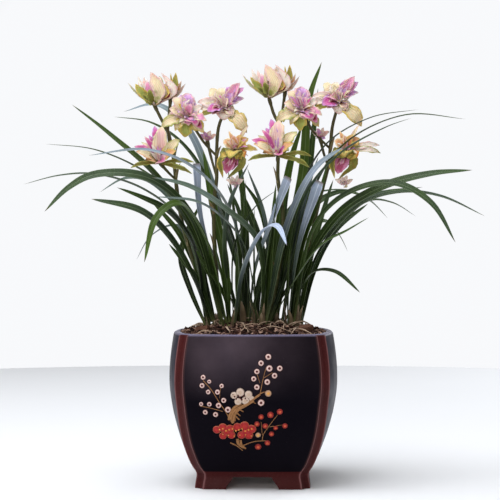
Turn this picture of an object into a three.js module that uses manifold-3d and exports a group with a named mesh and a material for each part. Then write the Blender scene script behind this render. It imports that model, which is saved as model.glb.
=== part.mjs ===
// A potted orchid: a square ceramic planter, its drainage and bark mix, one rhizome with seven
// pseudobulbs, the strap leaves, and four flower stems with ten many-petalled flowers.
// Millimetres, +Z up, +X to the right and -Y towards the decorated front of the pot.
// The origin is on the floor, under the middle of the pot.
import * as THREE from "three";
import { mergeVertices } from "three/addons/utils/BufferGeometryUtils.js";
import Module from "manifold-3d";

const wasm = await Module();
wasm.setup();

// ---- driving dimensions ----
const POT_HEIGHT = 153;
const POT_WALL = 7;
const POT_CHAMFER = 8.5;
const POT_INNER_CHAMFER = 5;
const SIDE_BULGE = 9.5;
const FLOOR_UNDERSIDE = 12;
const FLOOR_TOP = 20;
const FOOT_NOTCH_TOP = 18;
const FOOT_NOTCH_BOTTOM = 26.5;
const DRAIN_RADIUS = 9;
const FIT_GAP = 0.4;
const DRAINAGE_TOP = 44;
const SOIL_EDGE = 147;
const SOIL_CROWN = 160;
const BULB_RADIUS = 9;
const BULB_HALF_HEIGHT = 12;
const BULB_LEVEL = 149;
const LEAF_THICKNESS = 1.2;
const LEAF_FOLD = 0.3;
const TEPAL_THICKNESS = 1.3;
const HEART_RADIUS = 4.5;
const STEM_RADIUS = 2.1;
const PEDICEL_RADIUS = 1.4;

// ---- materials ----
function finish(colour, roughness) {
  return new THREE.MeshStandardMaterial({ color: colour, roughness, metalness: 0 });
}
const GLAZE = finish(0x17161c, 0.35);
const TERRACOTTA = finish(0x8a4a32, 0.9);
const PUMICE = finish(0x8b8378, 0.95);
const BARK_MIX = finish(0x5a3a28, 0.95);
const BARK = finish(0x6e4630, 0.9);
const BULB_SKIN = finish(0x6f7a3a, 0.6);
const LEAF_SKIN = finish(0x2f4a1e, 0.4);
const STEM_SKIN = finish(0x4d5a24, 0.5);
const PETAL_SKIN = finish(0xe6c3b8, 0.55);

const orchid = new THREE.Group();

function addMesh(name, geometry, material) {
  const mesh = new THREE.Mesh(geometry, material);
  mesh.name = name;
  orchid.add(mesh);
}

// ---- joining and cutting ----
function toSolid(geometry) {
  const bare = new THREE.BufferGeometry();
  bare.setAttribute("position", geometry.getAttribute("position"));
  bare.setIndex(geometry.index);
  const merged = mergeVertices(bare, 1e-4);
  return new wasm.Manifold(
    new wasm.Mesh({
      numProp: 3,
      vertProperties: merged.attributes.position.array,
      triVerts: new Uint32Array(merged.index.array),
    }),
  );
}

function toGeometry(solid) {
  const mesh = solid.getMesh();
  const geometry = new THREE.BufferGeometry();
  geometry.setAttribute("position", new THREE.BufferAttribute(mesh.vertProperties, 3));
  geometry.setIndex(new THREE.BufferAttribute(mesh.triVerts, 1));
  geometry.computeVertexNormals();
  return geometry;
}

function joined(geometries) {
  return geometries.map(toSolid).reduce((whole, piece) => whole.add(piece));
}

// A closed skin over rings of equal count, each ring a list of Vector3 running the same way round.
// A ring of one point is a tip; any other end ring is closed by a fan about its middle.
function skin(rings) {
  const points = [];
  const faces = [];
  const starts = rings.map((ring) => {
    points.push(...ring);
    return points.length - ring.length;
  });
  const count = Math.max(...rings.map((ring) => ring.length));
  for (let level = 0; level < rings.length - 1; level++) {
    for (let i = 0; i < count; i++) {
      const next = (i + 1) % count;
      const lowTip = rings[level].length === 1;
      const highTip = rings[level + 1].length === 1;
      const a = starts[level] + (lowTip ? 0 : i);
      const b = starts[level] + (lowTip ? 0 : next);
      const c = starts[level + 1] + (highTip ? 0 : next);
      const d = starts[level + 1] + (highTip ? 0 : i);
      if (!lowTip) faces.push(a, b, c);
      if (!highTip) faces.push(a, c, d);
    }
  }
  for (const [level, turn] of [[0, -1], [rings.length - 1, 1]]) {
    const ring = rings[level];
    if (ring.length === 1) continue;
    const middle = ring.reduce((sum, p) => sum.add(p), new THREE.Vector3()).divideScalar(ring.length);
    points.push(middle);
    for (let i = 0; i < ring.length; i++) {
      const a = starts[level] + i;
      const b = starts[level] + ((i + 1) % ring.length);
      faces.push(...(turn > 0 ? [a, b, points.length - 1] : [b, a, points.length - 1]));
    }
  }
  const geometry = new THREE.BufferGeometry().setFromPoints(points);
  geometry.setIndex(faces);
  geometry.computeVertexNormals();
  return geometry;
}

// ---- the pot: convex sides, cut corners, four feet ----
// Half width at the middle of a side, by height.
const potSide = new THREE.SplineCurve([
  new THREE.Vector2(0, 58),
  new THREE.Vector2(5, 57.5),
  new THREE.Vector2(14, 56.5),
  new THREE.Vector2(24, 62.5),
  new THREE.Vector2(48, 73.5),
  new THREE.Vector2(72, 80.8),
  new THREE.Vector2(96, 84.8),
  new THREE.Vector2(116, 85),
  new THREE.Vector2(136, 83.2),
  new THREE.Vector2(POT_HEIGHT, 80.6),
]);
const potSidePoints = potSide.getPoints(90);

function potHalfWidth(height) {
  const above = potSidePoints.findIndex((p) => p.x >= height);
  if (above <= 0) return potSidePoints[0].y;
  const low = potSidePoints[above - 1];
  const high = potSidePoints[above];
  return THREE.MathUtils.mapLinear(height, low.x, high.x, low.y, high.y);
}

function potBulge(height) {
  return 1 + (SIDE_BULGE - 1) * THREE.MathUtils.smoothstep(height, 5, 95);
}

// One level of the pot's plan: four bulging sides with a cut corner between them.
function potRing(height, inset, chamfer) {
  const bulge = potBulge(height);
  const edge = potHalfWidth(height) - bulge - inset;
  const steps = 6;
  const ring = [];
  for (let side = 0; side < 4; side++) {
    for (let i = 0; i <= steps; i++) {
      const across = (2 * i) / steps - 1;
      const p = new THREE.Vector3(across * (edge - chamfer), -(edge + bulge * (1 - across * across)), height);
      ring.push(p.applyAxisAngle(new THREE.Vector3(0, 0, 1), (side * Math.PI) / 2));
    }
  }
  return ring;
}

// The same plan for what fills the pot, clear of its inner wall.
function fillRing(height) {
  return potRing(height, POT_WALL + FIT_GAP, POT_INNER_CHAMFER);
}

// A straight channel between two feet, narrower at its top, along X; turned for the one along Y.
function footChannel(turned) {
  const outline = new THREE.Shape([
    new THREE.Vector2(-FOOT_NOTCH_BOTTOM, -1),
    new THREE.Vector2(FOOT_NOTCH_BOTTOM, -1),
    new THREE.Vector2(FOOT_NOTCH_TOP + 3, FLOOR_UNDERSIDE - 4),
    new THREE.Vector2(FOOT_NOTCH_TOP, FLOOR_UNDERSIDE),
    new THREE.Vector2(-FOOT_NOTCH_TOP, FLOOR_UNDERSIDE),
    new THREE.Vector2(-FOOT_NOTCH_TOP - 3, FLOOR_UNDERSIDE - 4),
  ]);
  const length = 200;
  const channel = new THREE.ExtrudeGeometry(outline, { depth: length, bevelEnabled: false });
  channel.translate(0, 0, -length / 2);
  channel.rotateX(Math.PI / 2);
  if (turned) channel.rotateZ(Math.PI / 2);
  return toSolid(channel);
}

const outerLevels = [0, 5, 11, 14, 18, 26, 38, 52, 68, 84, 100, 116, 134, POT_HEIGHT - 2.5];
const outerRings = outerLevels.map((height) => potRing(height, 0, POT_CHAMFER));
outerRings.push(potRing(POT_HEIGHT, 0, POT_CHAMFER).map((p) => p.multiply(new THREE.Vector3(0.985, 0.985, 1))));
const drainageLevels = [26, 38, DRAINAGE_TOP];
const soilLevels = [52, 68, 84, 100, 116, 134, SOIL_EDGE];
const cavityLevels = [FLOOR_TOP, ...drainageLevels, ...soilLevels, POT_HEIGHT];
const cavityRings = cavityLevels.map((height) => potRing(height, POT_WALL, POT_INNER_CHAMFER));
cavityRings.push(potRing(POT_HEIGHT, POT_WALL, POT_INNER_CHAMFER).map((p) => p.setZ(POT_HEIGHT + 5)));
const drain = new THREE.CylinderGeometry(DRAIN_RADIUS, DRAIN_RADIUS, 20, 20).rotateX(Math.PI / 2);
drain.translate(0, 0, (FLOOR_UNDERSIDE + FLOOR_TOP) / 2);
const pot = toSolid(skin(outerRings))
  .subtract(toSolid(skin(cavityRings)))
  .subtract(footChannel(false))
  .subtract(footChannel(true))
  .subtract(toSolid(drain));
addMesh("pot", toGeometry(pot), GLAZE);

// ---- the crock: an arched shard that keeps the drain hole open ----
const CROCK_OUTER = 22;
const CROCK_THICKNESS = 4;
const CROCK_LENGTH = 40;
const CROCK_SINK = 9;

function archOutline(radius, inner) {
  const half = Math.acos(CROCK_SINK / radius);
  const outline = new THREE.Shape();
  outline.absarc(0, -CROCK_SINK, radius, Math.PI / 2 - half, Math.PI / 2 + half, false);
  if (inner) {
    const innerHalf = Math.acos(CROCK_SINK / inner);
    outline.absarc(0, -CROCK_SINK, inner, Math.PI / 2 + innerHalf, Math.PI / 2 - innerHalf, true);
  }
  return outline;
}

function archSolid(outline, length) {
  const shape = new THREE.ExtrudeGeometry(outline, { depth: length, bevelEnabled: false, curveSegments: 10 });
  shape.translate(0, 0, -length / 2);
  shape.rotateX(Math.PI / 2);
  return shape.translate(0, 0, FLOOR_TOP + FIT_GAP);
}
const crock = archSolid(archOutline(CROCK_OUTER, CROCK_OUTER - CROCK_THICKNESS), CROCK_LENGTH);
addMesh("crock", crock, TERRACOTTA);

// ---- the drainage layer, and the bark mix heaped above it ----
const crockPocket = archSolid(archOutline(CROCK_OUTER + FIT_GAP, 0), CROCK_LENGTH + 2 * FIT_GAP);
crockPocket.translate(0, 0, -2 * FIT_GAP);
const crockHollow = toSolid(crockPocket).add(toSolid(crockPocket.clone().translate(0, 0, 2 * FIT_GAP)));
const drainageRings = [FLOOR_TOP + FIT_GAP, ...drainageLevels].map(fillRing);
const drainage = toSolid(skin(drainageRings)).subtract(crockHollow);
addMesh("drainage_gravel", toGeometry(drainage), PUMICE);

// Height of the heap over a point, lumpy but flat enough to hold the pieces that lie on it.
function soilHeight(x, y) {
  const out = Math.min(Math.hypot(x, y) / 78, 1);
  const lump = Math.sin(x * 0.19 + 1.1) * Math.cos(y * 0.17 + 0.4);
  return THREE.MathUtils.lerp(SOIL_CROWN, SOIL_EDGE, out * out) + lump * (1 - out);
}

const soilRings = [DRAINAGE_TOP + FIT_GAP, ...soilLevels].map(fillRing);
for (const shrink of [0.8, 0.6, 0.4, 0.2]) {
  soilRings.push(fillRing(SOIL_EDGE).map((p) => {
    const x = p.x * shrink;
    const y = p.y * shrink;
    return new THREE.Vector3(x, y, soilHeight(x, y));
  }));
}
soilRings.push([new THREE.Vector3(0, 0, soilHeight(0, 0))]);

// ---- the rhizome: seven pseudobulbs on one creeping stem, with fleshy roots ----
const GROWTHS = [
  [-41, -4],
  [-25, -22],
  [-9, 6],
  [8, -18],
  [24, 10],
  [41, -8],
  [6, 36],
];
const CREEPER_LINKS = [[1, 2], [2, 3], [3, 4], [4, 5], [5, 6], [3, 7]];
const ROOTS = [
  [[-41, -4, 142], [-50, 4, 118], [-44, 20, 88], [-48, 26, 62]],
  [[-25, -22, 142], [-34, -38, 112], [-28, -44, 84], [-18, -40, 58]],
  [[24, 10, 142], [32, 26, 110], [24, 38, 84], [30, 34, 60]],
  [[41, -8, 142], [54, -20, 116], [46, -34, 88], [50, -38, 66]],
];
const ROOT_RADIUS = 2.6;
const CREEPER_RADIUS = 4;
const POCKET_ROOM = 1;

function circle(radius, sides) {
  const outline = new THREE.Shape();
  for (let i = 0; i < sides; i++) {
    const angle = (i / sides) * 2 * Math.PI;
    const x = radius * Math.cos(angle);
    const y = radius * Math.sin(angle);
    if (i === 0) outline.moveTo(x, y);
    else outline.lineTo(x, y);
  }
  outline.closePath();
  return outline;
}

function tube(points, radius, sides, steps) {
  const path = new THREE.CatmullRomCurve3(points.map((p) => new THREE.Vector3(...p)), false, "centripetal");
  return new THREE.ExtrudeGeometry(circle(radius, sides), { steps, extrudePath: path, bevelEnabled: false });
}

function rhizomeSolid(extra) {
  const pieces = GROWTHS.map(([x, y]) => {
    const bulb = new THREE.SphereGeometry(1, 8, 5).rotateX(Math.PI / 2);
    bulb.scale(BULB_RADIUS + extra, BULB_RADIUS + extra, BULB_HALF_HEIGHT + extra);
    return bulb.translate(x, y, BULB_LEVEL);
  });
  for (const ends of CREEPER_LINKS) {
    const link = ends.map((growth) => [...GROWTHS[growth - 1], BULB_LEVEL - 7]);
    pieces.push(tube(link, CREEPER_RADIUS + extra, 6, 1));
  }
  for (const route of ROOTS) {
    const [endX, endY, endZ] = route[route.length - 1];
    pieces.push(tube([...route.slice(0, -1), [endX, endY, endZ - extra]], ROOT_RADIUS + extra, 5, 5));
  }
  return joined(pieces);
}
addMesh("rhizome_with_pseudobulbs", toGeometry(rhizomeSolid(0)), BULB_SKIN);
const soil = toSolid(skin(soilRings)).subtract(rhizomeSolid(POCKET_ROOM));
addMesh("bark_mix", toGeometry(soil), BARK_MIX);

// ---- loose bark chips lying on the heap ----
const CHIPS = [
  { name: "bark_chip_right", at: [52, -34], turn: 0.5, tilt: 0.3, size: [17, 10, 5] },
  { name: "bark_chip_left", at: [-50, -36], turn: -0.7, tilt: -0.25, size: [15, 9, 4] },
];
for (const chip of CHIPS) {
  const [length, width, thickness] = chip.size;
  const outline = new THREE.Shape([
    new THREE.Vector2(-length / 2, -width * 0.3),
    new THREE.Vector2(length * 0.1, -width / 2),
    new THREE.Vector2(length / 2, -width * 0.15),
    new THREE.Vector2(length * 0.4, width * 0.4),
    new THREE.Vector2(-length * 0.25, width / 2),
  ]);
  const shape = new THREE.ExtrudeGeometry(outline, { depth: thickness, bevelEnabled: false });
  const mesh = new THREE.Mesh(shape, BARK);
  const [x, y] = chip.at;
  mesh.name = chip.name;
  mesh.position.set(x, y, soilHeight(x, y) + 3);
  mesh.rotation.set(chip.tilt, 0, chip.turn);
  orchid.add(mesh);
}

// ---- blades: leaves and tepals ----
// A keeled strap along a route: four-cornered section, folded to a shallow V, narrowing to a tip.
// The upper face turns by roll about the route, from level towards the front.
function blade({ points, width, thickness, fold, roll, segments, shape }) {
  const path = new THREE.CatmullRomCurve3(points.map((p) => new THREE.Vector3(...p)), false, "centripetal");
  const reach = path.getPoint(1).sub(path.getPoint(0));
  const heading = new THREE.Vector3(reach.x, reach.y, 0).normalize();
  const side = new THREE.Vector3(heading.y, -heading.x, 0);
  const turn = heading.x < 0 ? -roll : roll;
  const rings = [];
  for (let i = 0; i < segments; i++) {
    const t = i / segments;
    const place = path.getPointAt(t);
    const along = path.getTangentAt(t);
    const across = side.clone().addScaledVector(along, -side.dot(along)).normalize();
    across.applyAxisAngle(along, turn);
    const up = across.clone().cross(along);
    const half = (width / 2) * shape(t);
    const thick = (thickness / 2) * (1 - 0.6 * t);
    const corner = (a, b) => place.clone().addScaledVector(across, a).addScaledVector(up, b);
    rings.push([corner(0, -thick), corner(-half, half * fold), corner(0, thick), corner(half, half * fold)]);
  }
  rings.push([path.getPointAt(1)]);
  return skin(rings);
}

function leafShape(t) {
  return (0.38 + 0.62 * Math.sin(Math.min(t / 0.5, 1) * Math.PI / 2)) * (1 - t ** 3);
}

function tepalShape(t) {
  return 0.35 + 0.65 * Math.sin(Math.min(t / 0.6, 1) * Math.PI / 2) - 0.75 * Math.max(0, t - 0.6) ** 1.2;
}

// ---- the leaves ----
// Name, growth it rises from, foot beside the growth's middle, width, roll in degrees,
// then the points that its midrib passes on the way to its tip.
const LEAVES = [
  ["left_high", 2, [-7, 0], 11, 45,
    [-54, -25, 239], [-95, -35, 306], [-143, -45, 350], [-179, -50, 379]],
  ["left_top_thin", 3, [-5, 3], 7, 10,
    [-59, 20, 261], [-104, 35, 309], [-166, 50, 340], [-224, 60, 348]],
  ["left_far", 1, [-4, 3], 8, 10,
    [-73, -17, 263], [-109, -20, 295], [-158, -22, 311], [-194, -24, 310], [-231, -26, 301]],
  ["left_broad", 2, [-5, -6], 11, 50,
    [-63, -40, 270], [-102, -58, 305], [-153, -72, 308], [-178, -78, 295], [-201, -80, 272]],
  ["left_blue", 1, [-1, 5], 8, 30,
    [-65, 5, 258], [-107, 15, 305], [-133, 20, 309], [-160, 22, 295]],
  ["left_dark", 1, [-8, -1], 11, 50,
    [-61, -26, 239], [-84, -48, 273], [-106, -60, 285], [-132, -68, 296]],
  ["left_low_broad", 1, [-3, -9], 11, 50,
    [-59, -31, 205], [-84, -57, 250], [-109, -75, 273], [-154, -92, 284]],
  ["left_back_high", 7, [-3, -6], 8, 15,
    [-33, 44, 272], [-73, 60, 343], [-111, 75, 371], [-153, 85, 379]],
  ["left_back_pale", 7, [-6, 0], 11, 40,
    [-44, 70, 299], [-74, 90, 367], [-108, 107, 394], [-146, 123, 388]],
  ["left_silver", 4, [-6, -3], 9, 40,
    [-23, -33, 273], [-56, -53, 314], [-101, -70, 332], [-157, -88, 326]],
  ["left_light", 4, [1, -3], 11, 50,
    [4, -44, 243], [-26, -54, 274], [-62, -62, 297], [-98, -68, 306]],
  ["left_front_long", 4, [-3, -7], 8, 35,
    [-8, -40, 237], [-28, -66, 265], [-52, -82, 281], [-93, -98, 286]],
  ["left_drooping", 2, [0, -9], 9, 45,
    [-47, -45, 245], [-71, -80, 280], [-91, -100, 265], [-101, -112, 223]],
  ["left_low_back", 1, [2, 8], 7, 20,
    [-60, 20, 230], [-82, 38, 260], [-109, 52, 250], [-126, 60, 224]],
  ["left_bow", 1, [-8, 3], 6, 15,
    [-65, 8, 194], [-75, 13, 227], [-70, 15, 251], [-54, 17, 285]],
  ["centre_blue_tip", 1, [6, -3], 9, 60, [-41, -13, 213], [-55, -20, 275], [-58, -24, 322]],
  ["centre_left_a", 2, [1, 2], 10, 60, [-29, 5, 225], [-42, 10, 286], [-52, 15, 338]],
  ["centre_left_b", 3, [-1, -4], 9, 60, [-16, -8, 235], [-22, -12, 286], [-26, -14, 318]],
  ["centre_small_arch", 2, [7, -3], 7, 20,
    [-8, -52, 215], [12, -80, 254], [25, -103, 257], [34, -122, 239]],
  ["centre_blunt", 3, [5, -2], 11, 70, [3, -10, 217], [21, -22, 270], [34, -30, 307]],
  ["right_blue_tip", 6, [-5, -4], 10, 70, [47, -25, 240], [67, -40, 303]],
  ["tallest", 5, [-1, 2], 10, 65, [37, 5, 245], [51, 12, 317], [57, 16, 390], [70, 18, 429]],
  ["centre_broad", 4, [2, 4], 10, 65, [25, 25, 256], [38, 35, 329], [50, 38, 366]],
  ["back_tip", 6, [-2, 6], 8, 40, [54, 45, 288], [62, 52, 362], [67, 55, 406]],
  ["back_middle", 3, [1, 6], 9, 60, [-7, 18, 235], [-11, 25, 297], [-18, 30, 349]],
  ["right_high", 5, [-4, -4], 7, 10,
    [43, -15, 280], [72, -25, 339], [116, -35, 366], [164, -42, 374]],
  ["right_top_thin", 5, [6, 0], 7, 10,
    [55, -20, 280], [90, -62, 338], [148, -66, 366], [208, -68, 362]],
  ["right_high_front", 5, [6, -4], 7, 15,
    [49, -32, 280], [84, -70, 327], [129, -80, 353], [154, -84, 362]],
  ["right_blue_broad", 4, [5, -6], 12, 55, [36, -35, 260], [63, -58, 315], [89, -72, 335]],
  ["right_big_dark", 6, [3, -4], 12, 50,
    [52, -23, 215], [86, -40, 270], [127, -52, 296], [174, -58, 309], [215, -60, 313]],
  ["right_far", 6, [5, 4], 9, 20,
    [66, 2, 230], [108, -3, 280], [148, -10, 293], [188, -14, 289], [233, -16, 269]],
  ["right_drooping", 6, [0, -8], 10, 50,
    [62, -46, 258], [94, -62, 290], [138, -75, 299], [172, -84, 280], [195, -90, 242]],
  ["right_back_low", 7, [6, -3], 8, 20, [80, 34, 256], [123, 50, 291], [179, 70, 302]],
  ["right_back_hook", 5, [7, 4], 7, 20,
    [74, 20, 240], [117, 28, 285], [144, 35, 284], [169, 40, 270]],
  ["right_back_arch", 7, [6, 0], 9, 35,
    [54, 55, 272], [93, 78, 297], [122, 90, 289], [144, 98, 269]],
  ["right_straight", 4, [8, -2], 7, 30, [65, -55, 237], [93, -80, 254], [112, -95, 266]],
  ["right_back_droop", 7, [7, 5], 9, 35,
    [50, 70, 256], [79, 98, 265], [92, 108, 250], [101, 112, 233]],
  ["right_low", 6, [9, 0], 7, 25,
    [51, -9, 195], [60, -20, 212], [82, -38, 213], [106, -52, 193]],
  ["right_behind", 3, [5, 4], 7, 15,
    [22, 40, 251], [49, 50, 289], [80, 56, 298], [104, 60, 299]],
];
const LEAF_CLEARANCE = 1.2;
const FOOT_REACH = 2;

for (const [name, growth, [offX, offY], width, rollDegrees, ...route] of LEAVES) {
  const [growthX, growthY] = GROWTHS[growth - 1];
  const out = Math.min(Math.max(Math.hypot(offX, offY) - FOOT_REACH, 0) / BULB_RADIUS, 1);
  const bulbTop = BULB_LEVEL + BULB_HALF_HEIGHT * Math.sqrt(1 - out * out);
  const footX = growthX + offX;
  const footY = growthY + offY;
  const foot = [footX, footY, Math.max(bulbTop, soilHeight(footX, footY)) + LEAF_CLEARANCE];
  const shape = blade({
    points: [foot, ...route],
    width,
    thickness: LEAF_THICKNESS,
    fold: LEAF_FOLD,
    roll: THREE.MathUtils.degToRad(rollDegrees),
    segments: route.length > 3 ? 12 : 9,
    shape: leafShape,
  });
  addMesh("leaf_" + name, shape, LEAF_SKIN);
}

// ---- the flowers ----
// Each form lists its tepals as the tip, seen from the heart of the flower, and the width.
const HALF_OPEN = [
  [[-30, -4, 20], 4],
  [[-21, -8, 17], 9],
  [[-21, 4, 30], 6],
  [[-15, 8, 28], 6],
  [[-6, -2, 32], 9],
  [[4, -9, 27], 13],
  [[16, -3, 21], 10],
  [[18, 5, 33], 8],
  [[28, 4, 21], 8],
  [[1, 11, 26], 10],
  [[12, 10, 18], 9],
];
const OPEN_LEFT = [
  [[0, 4, 26], 11],
  [[7, 2, 20], 8],
  [[-14, 0, 21], 9],
  [[-18, -4, 9], 8],
  [[-26, -6, -10], 9],
  [[-2, -6, -20], 10],
  [[14, -12, -5], 14],
  [[20, -8, -4], 8],
  [[17, -4, -16], 8],
  [[9, 8, 13], 7],
  [[-8, 12, 6], 9],
  [[8, 12, 2], 9],
];
const OPEN_RIGHT = [
  [[-15, 4, 21], 8],
  [[-4, 4, 22], 11],
  [[15, 0, 26], 12],
  [[5, -3, 22], 6],
  [[-20, -2, 8], 9],
  [[-16, -10, -3], 12],
  [[0, -8, -12], 12],
  [[23, -6, -24], 11],
  [[-26, 4, -7], 5],
  [[-6, 12, 4], 9],
  [[10, 12, -2], 9],
];
const UPRIGHT = [
  [[-6, 6, 39], 6],
  [[2, 2, 37], 11],
  [[-11, 2, 29], 5],
  [[-15, -2, 27], 5],
  [[-19, 4, 22], 4],
  [[-25, -4, 17], 7],
  [[20, 0, 25], 9],
  [[17, -8, 13], 8],
  [[6, -11, 1], 10],
  [[-23, -9, 12], 9],
  [[-29, -2, -4], 4],
  [[35, -2, 1], 4],
  [[33, -6, -11], 4],
  [[-8, 12, 14], 8],
  [[10, 12, 12], 9],
];
const HOODED = [
  [[0, -13, -5], 20],
  [[-6, -8, -22], 13],
  [[-13, -4, -22], 6],
  [[4, -6, -18], 8],
  [[-12, -2, 10], 9],
  [[13, -2, 12], 10],
  [[-7, 2, 20], 4],
  [[13, 0, 26], 4],
  [[2, -6, 14], 12],
  [[22, 0, 1], 7],
];
const HOODED_WIDE = [...HOODED, [[33, -2, 5], 6], [[34, -4, -3], 7]];
const FLOWERS = [
  ["flower_left_half_open", [-97, -10, 385], HALF_OPEN],
  ["flower_left_open", [-66, -25, 368], OPEN_LEFT],
  ["flower_left_top", [-29, -20, 377], OPEN_RIGHT],
  ["flower_left_upright", [-92, -45, 321], UPRIGHT],
  ["flower_left_hooded", [-17, -40, 334], HOODED],
  ["flower_right_half_open", [19, -10, 392], HALF_OPEN],
  ["flower_right_open", [49, -25, 374], OPEN_LEFT],
  ["flower_right_top", [86, -20, 383], OPEN_RIGHT],
  ["flower_right_upright", [24, -45, 328], UPRIGHT],
  ["flower_right_hooded", [93, -40, 334], HOODED_WIDE],
];

for (const [name, heart, tepals] of FLOWERS) {
  const pieces = tepals.map(([tip, width]) => {
    const [x, y, z] = tip;
    const outward = Math.hypot(x, y, z);
    const root = tip.map((v) => (v * HEART_RADIUS * 0.5) / outward);
    const bend = [x * 0.55, y * 0.55 - outward * 0.06, z * 0.55 + outward * 0.04];
    return blade({
      points: [root, bend, tip],
      width,
      thickness: TEPAL_THICKNESS,
      fold: LEAF_FOLD,
      roll: 0,
      segments: 3,
      shape: tepalShape,
    });
  });
  pieces.push(new THREE.IcosahedronGeometry(HEART_RADIUS, 0));
  const flower = toGeometry(joined(pieces));
  flower.translate(...heart);
  addMesh(name, flower, PETAL_SKIN);
}

// ---- the flower stems, each with the pedicels that grow from it ----
const SCAPES = [
  ["scape_left_inner", [
    [[-33, 9, 160], [-39, 2, 225], [-40, -10, 281], [-37, -14, 307], [-37, -15, 332], [-35, -15, 359],
      [-30, -16, 371]],
    [[-37, -15, 330], [-50, -18, 344], [-62, -21, 363]],
    [[-37, -14, 318], [-30, -20, 325], [-18, -34, 334]],
  ]],
  ["scape_left_outer", [
    [[-46, 14, 158], [-58, 8, 210], [-72, -3, 260], [-77, -18, 296], [-80, -22, 326], [-85, -14, 358],
      [-91, -11, 370], [-95, -8, 379]],
    [[-78, -20, 306], [-83, -32, 311], [-89, -40, 317]],
  ]],
  ["scape_right_inner", [
    [[15, -4, 163], [27, -12, 225], [30, -16, 270], [25, -20, 306], [26, -18, 337], [29, -12, 358],
      [23, -10, 372], [20, -8, 385]],
    [[25, -20, 304], [25, -30, 312], [25, -40, 323]],
  ]],
  ["scape_right_outer", [
    [[48, 10, 157], [55, 9, 225], [66, -5, 281], [76, -13, 321], [78, -13, 341], [80, -14, 360],
      [84, -16, 377]],
    [[78, -13, 337], [60, -17, 355], [52, -21, 369]],
    [[76, -13, 322], [82, -20, 327], [92, -34, 334]],
  ]],
];

for (const [name, [stem, ...pedicels]] of SCAPES) {
  const pieces = [tube(stem, STEM_RADIUS, 6, 13)];
  for (const pedicel of pedicels) pieces.push(tube(pedicel, PEDICEL_RADIUS, 5, 4));
  addMesh(name, toGeometry(joined(pieces)), STEM_SKIN);
}

export default orchid;
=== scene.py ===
import math
import random
import bpy
import numpy as np
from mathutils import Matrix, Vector


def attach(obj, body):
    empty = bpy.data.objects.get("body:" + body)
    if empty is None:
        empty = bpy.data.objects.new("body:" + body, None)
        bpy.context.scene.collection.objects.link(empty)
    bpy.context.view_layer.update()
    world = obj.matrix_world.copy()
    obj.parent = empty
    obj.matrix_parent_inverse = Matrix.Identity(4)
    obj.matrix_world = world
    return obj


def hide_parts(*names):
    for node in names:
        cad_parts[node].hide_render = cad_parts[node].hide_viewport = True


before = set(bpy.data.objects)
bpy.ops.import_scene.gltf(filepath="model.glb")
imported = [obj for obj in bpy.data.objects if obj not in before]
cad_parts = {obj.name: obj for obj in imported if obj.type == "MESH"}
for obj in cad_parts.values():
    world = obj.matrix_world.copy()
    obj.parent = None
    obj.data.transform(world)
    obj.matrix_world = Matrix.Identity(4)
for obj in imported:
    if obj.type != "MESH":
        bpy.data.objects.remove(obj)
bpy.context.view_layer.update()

MM = 0.001

# ---- Studio ----
# A camera level with the middle of the plant, a broad cool light overhead as from an open sky,
# a softer one from the left front, a low one behind for the leaf edges, and a plain pale floor.
EYE_HEIGHT = 0.235
EYE_DISTANCE = 1.5
EYE_TURN = math.radians(1.2)
HALF_VIEW = 0.255
AIM_X = -0.0036

camera_data = bpy.data.cameras.new("camera")
camera_data.sensor_width = 36
camera_data.lens = camera_data.sensor_width / 2 * EYE_DISTANCE / HALF_VIEW
camera = bpy.data.objects.new("camera", camera_data)
bpy.context.scene.collection.objects.link(camera)
camera.location = (EYE_DISTANCE * math.sin(EYE_TURN), -EYE_DISTANCE * math.cos(EYE_TURN), EYE_HEIGHT)
aim = Vector((AIM_X, 0, EYE_HEIGHT)) - camera.location
camera.rotation_euler = aim.to_track_quat("-Z", "Y").to_euler()
bpy.context.scene.camera = camera
bpy.context.scene.view_settings.view_transform = "Standard"

world = bpy.data.worlds.new("pale_room")
bpy.context.scene.world = world
world.use_nodes = True
BACKDROP_GLOW = 0.97
WALL_GLOW = 0.34
CEILING_GLOW = 0.26
FLOOR_RADIUS = 1.5
FLOOR_SIDES = 96

SOFT_LIGHTS = [
    ("open_sky", (-0.5, -0.4, 2.1), 1.7, 56, (0.92, 0.95, 1.0)),
    ("left_front", (-0.42, -2.0, 0.52), 0.7, 12, (1.0, 0.95, 0.93)),
    ("behind", (1.0, 1.6, 0.9), 0.8, 9, (0.92, 0.95, 1.0)),
]
for name, place, size, power, tint in SOFT_LIGHTS:
    lamp_data = bpy.data.lights.new(name, "AREA")
    lamp_data.size = size
    lamp_data.energy = power
    lamp_data.color = tint
    lamp = bpy.data.objects.new(name, lamp_data)
    bpy.context.scene.collection.objects.link(lamp)
    lamp.location = place
    lamp.rotation_euler = (Vector((0, 0, 0.25)) - Vector(place)).to_track_quat("-Z", "Y").to_euler()


def put(tree, kind, wires=None, **choices):
    """Adds one node to a tree. Wires give its inputs by name or place, as a value or a socket."""
    node = tree.nodes.new(kind)
    for name, value in choices.items():
        setattr(node, name, value)
    for place, value in (wires or {}).items():
        if isinstance(value, bpy.types.NodeSocket):
            tree.links.new(value, node.inputs[place])
        else:
            node.inputs[place].default_value = value
    return node


def parts(tree, vector):
    return put(tree, "ShaderNodeSeparateXYZ", {0: vector}).outputs


world_tree = world.node_tree
towards = parts(world_tree, put(world_tree, "ShaderNodeTexCoord").outputs["Generated"])
wall_share = put(world_tree, "ShaderNodeMapRange",
                 {0: towards[2], 1: 0.18, 2: 0.5, 3: WALL_GLOW, 4: CEILING_GLOW}).outputs[0]
backdrop_share = put(world_tree, "ShaderNodeMapRange",
                     {0: towards[1], 1: 0.93, 2: 0.97, 3: wall_share, 4: BACKDROP_GLOW}).outputs[0]
room = world_tree.nodes["Background"]
room.inputs["Color"].default_value = (0.97, 0.98, 1.0, 1)
world_tree.links.new(backdrop_share, room.inputs["Strength"])


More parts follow.
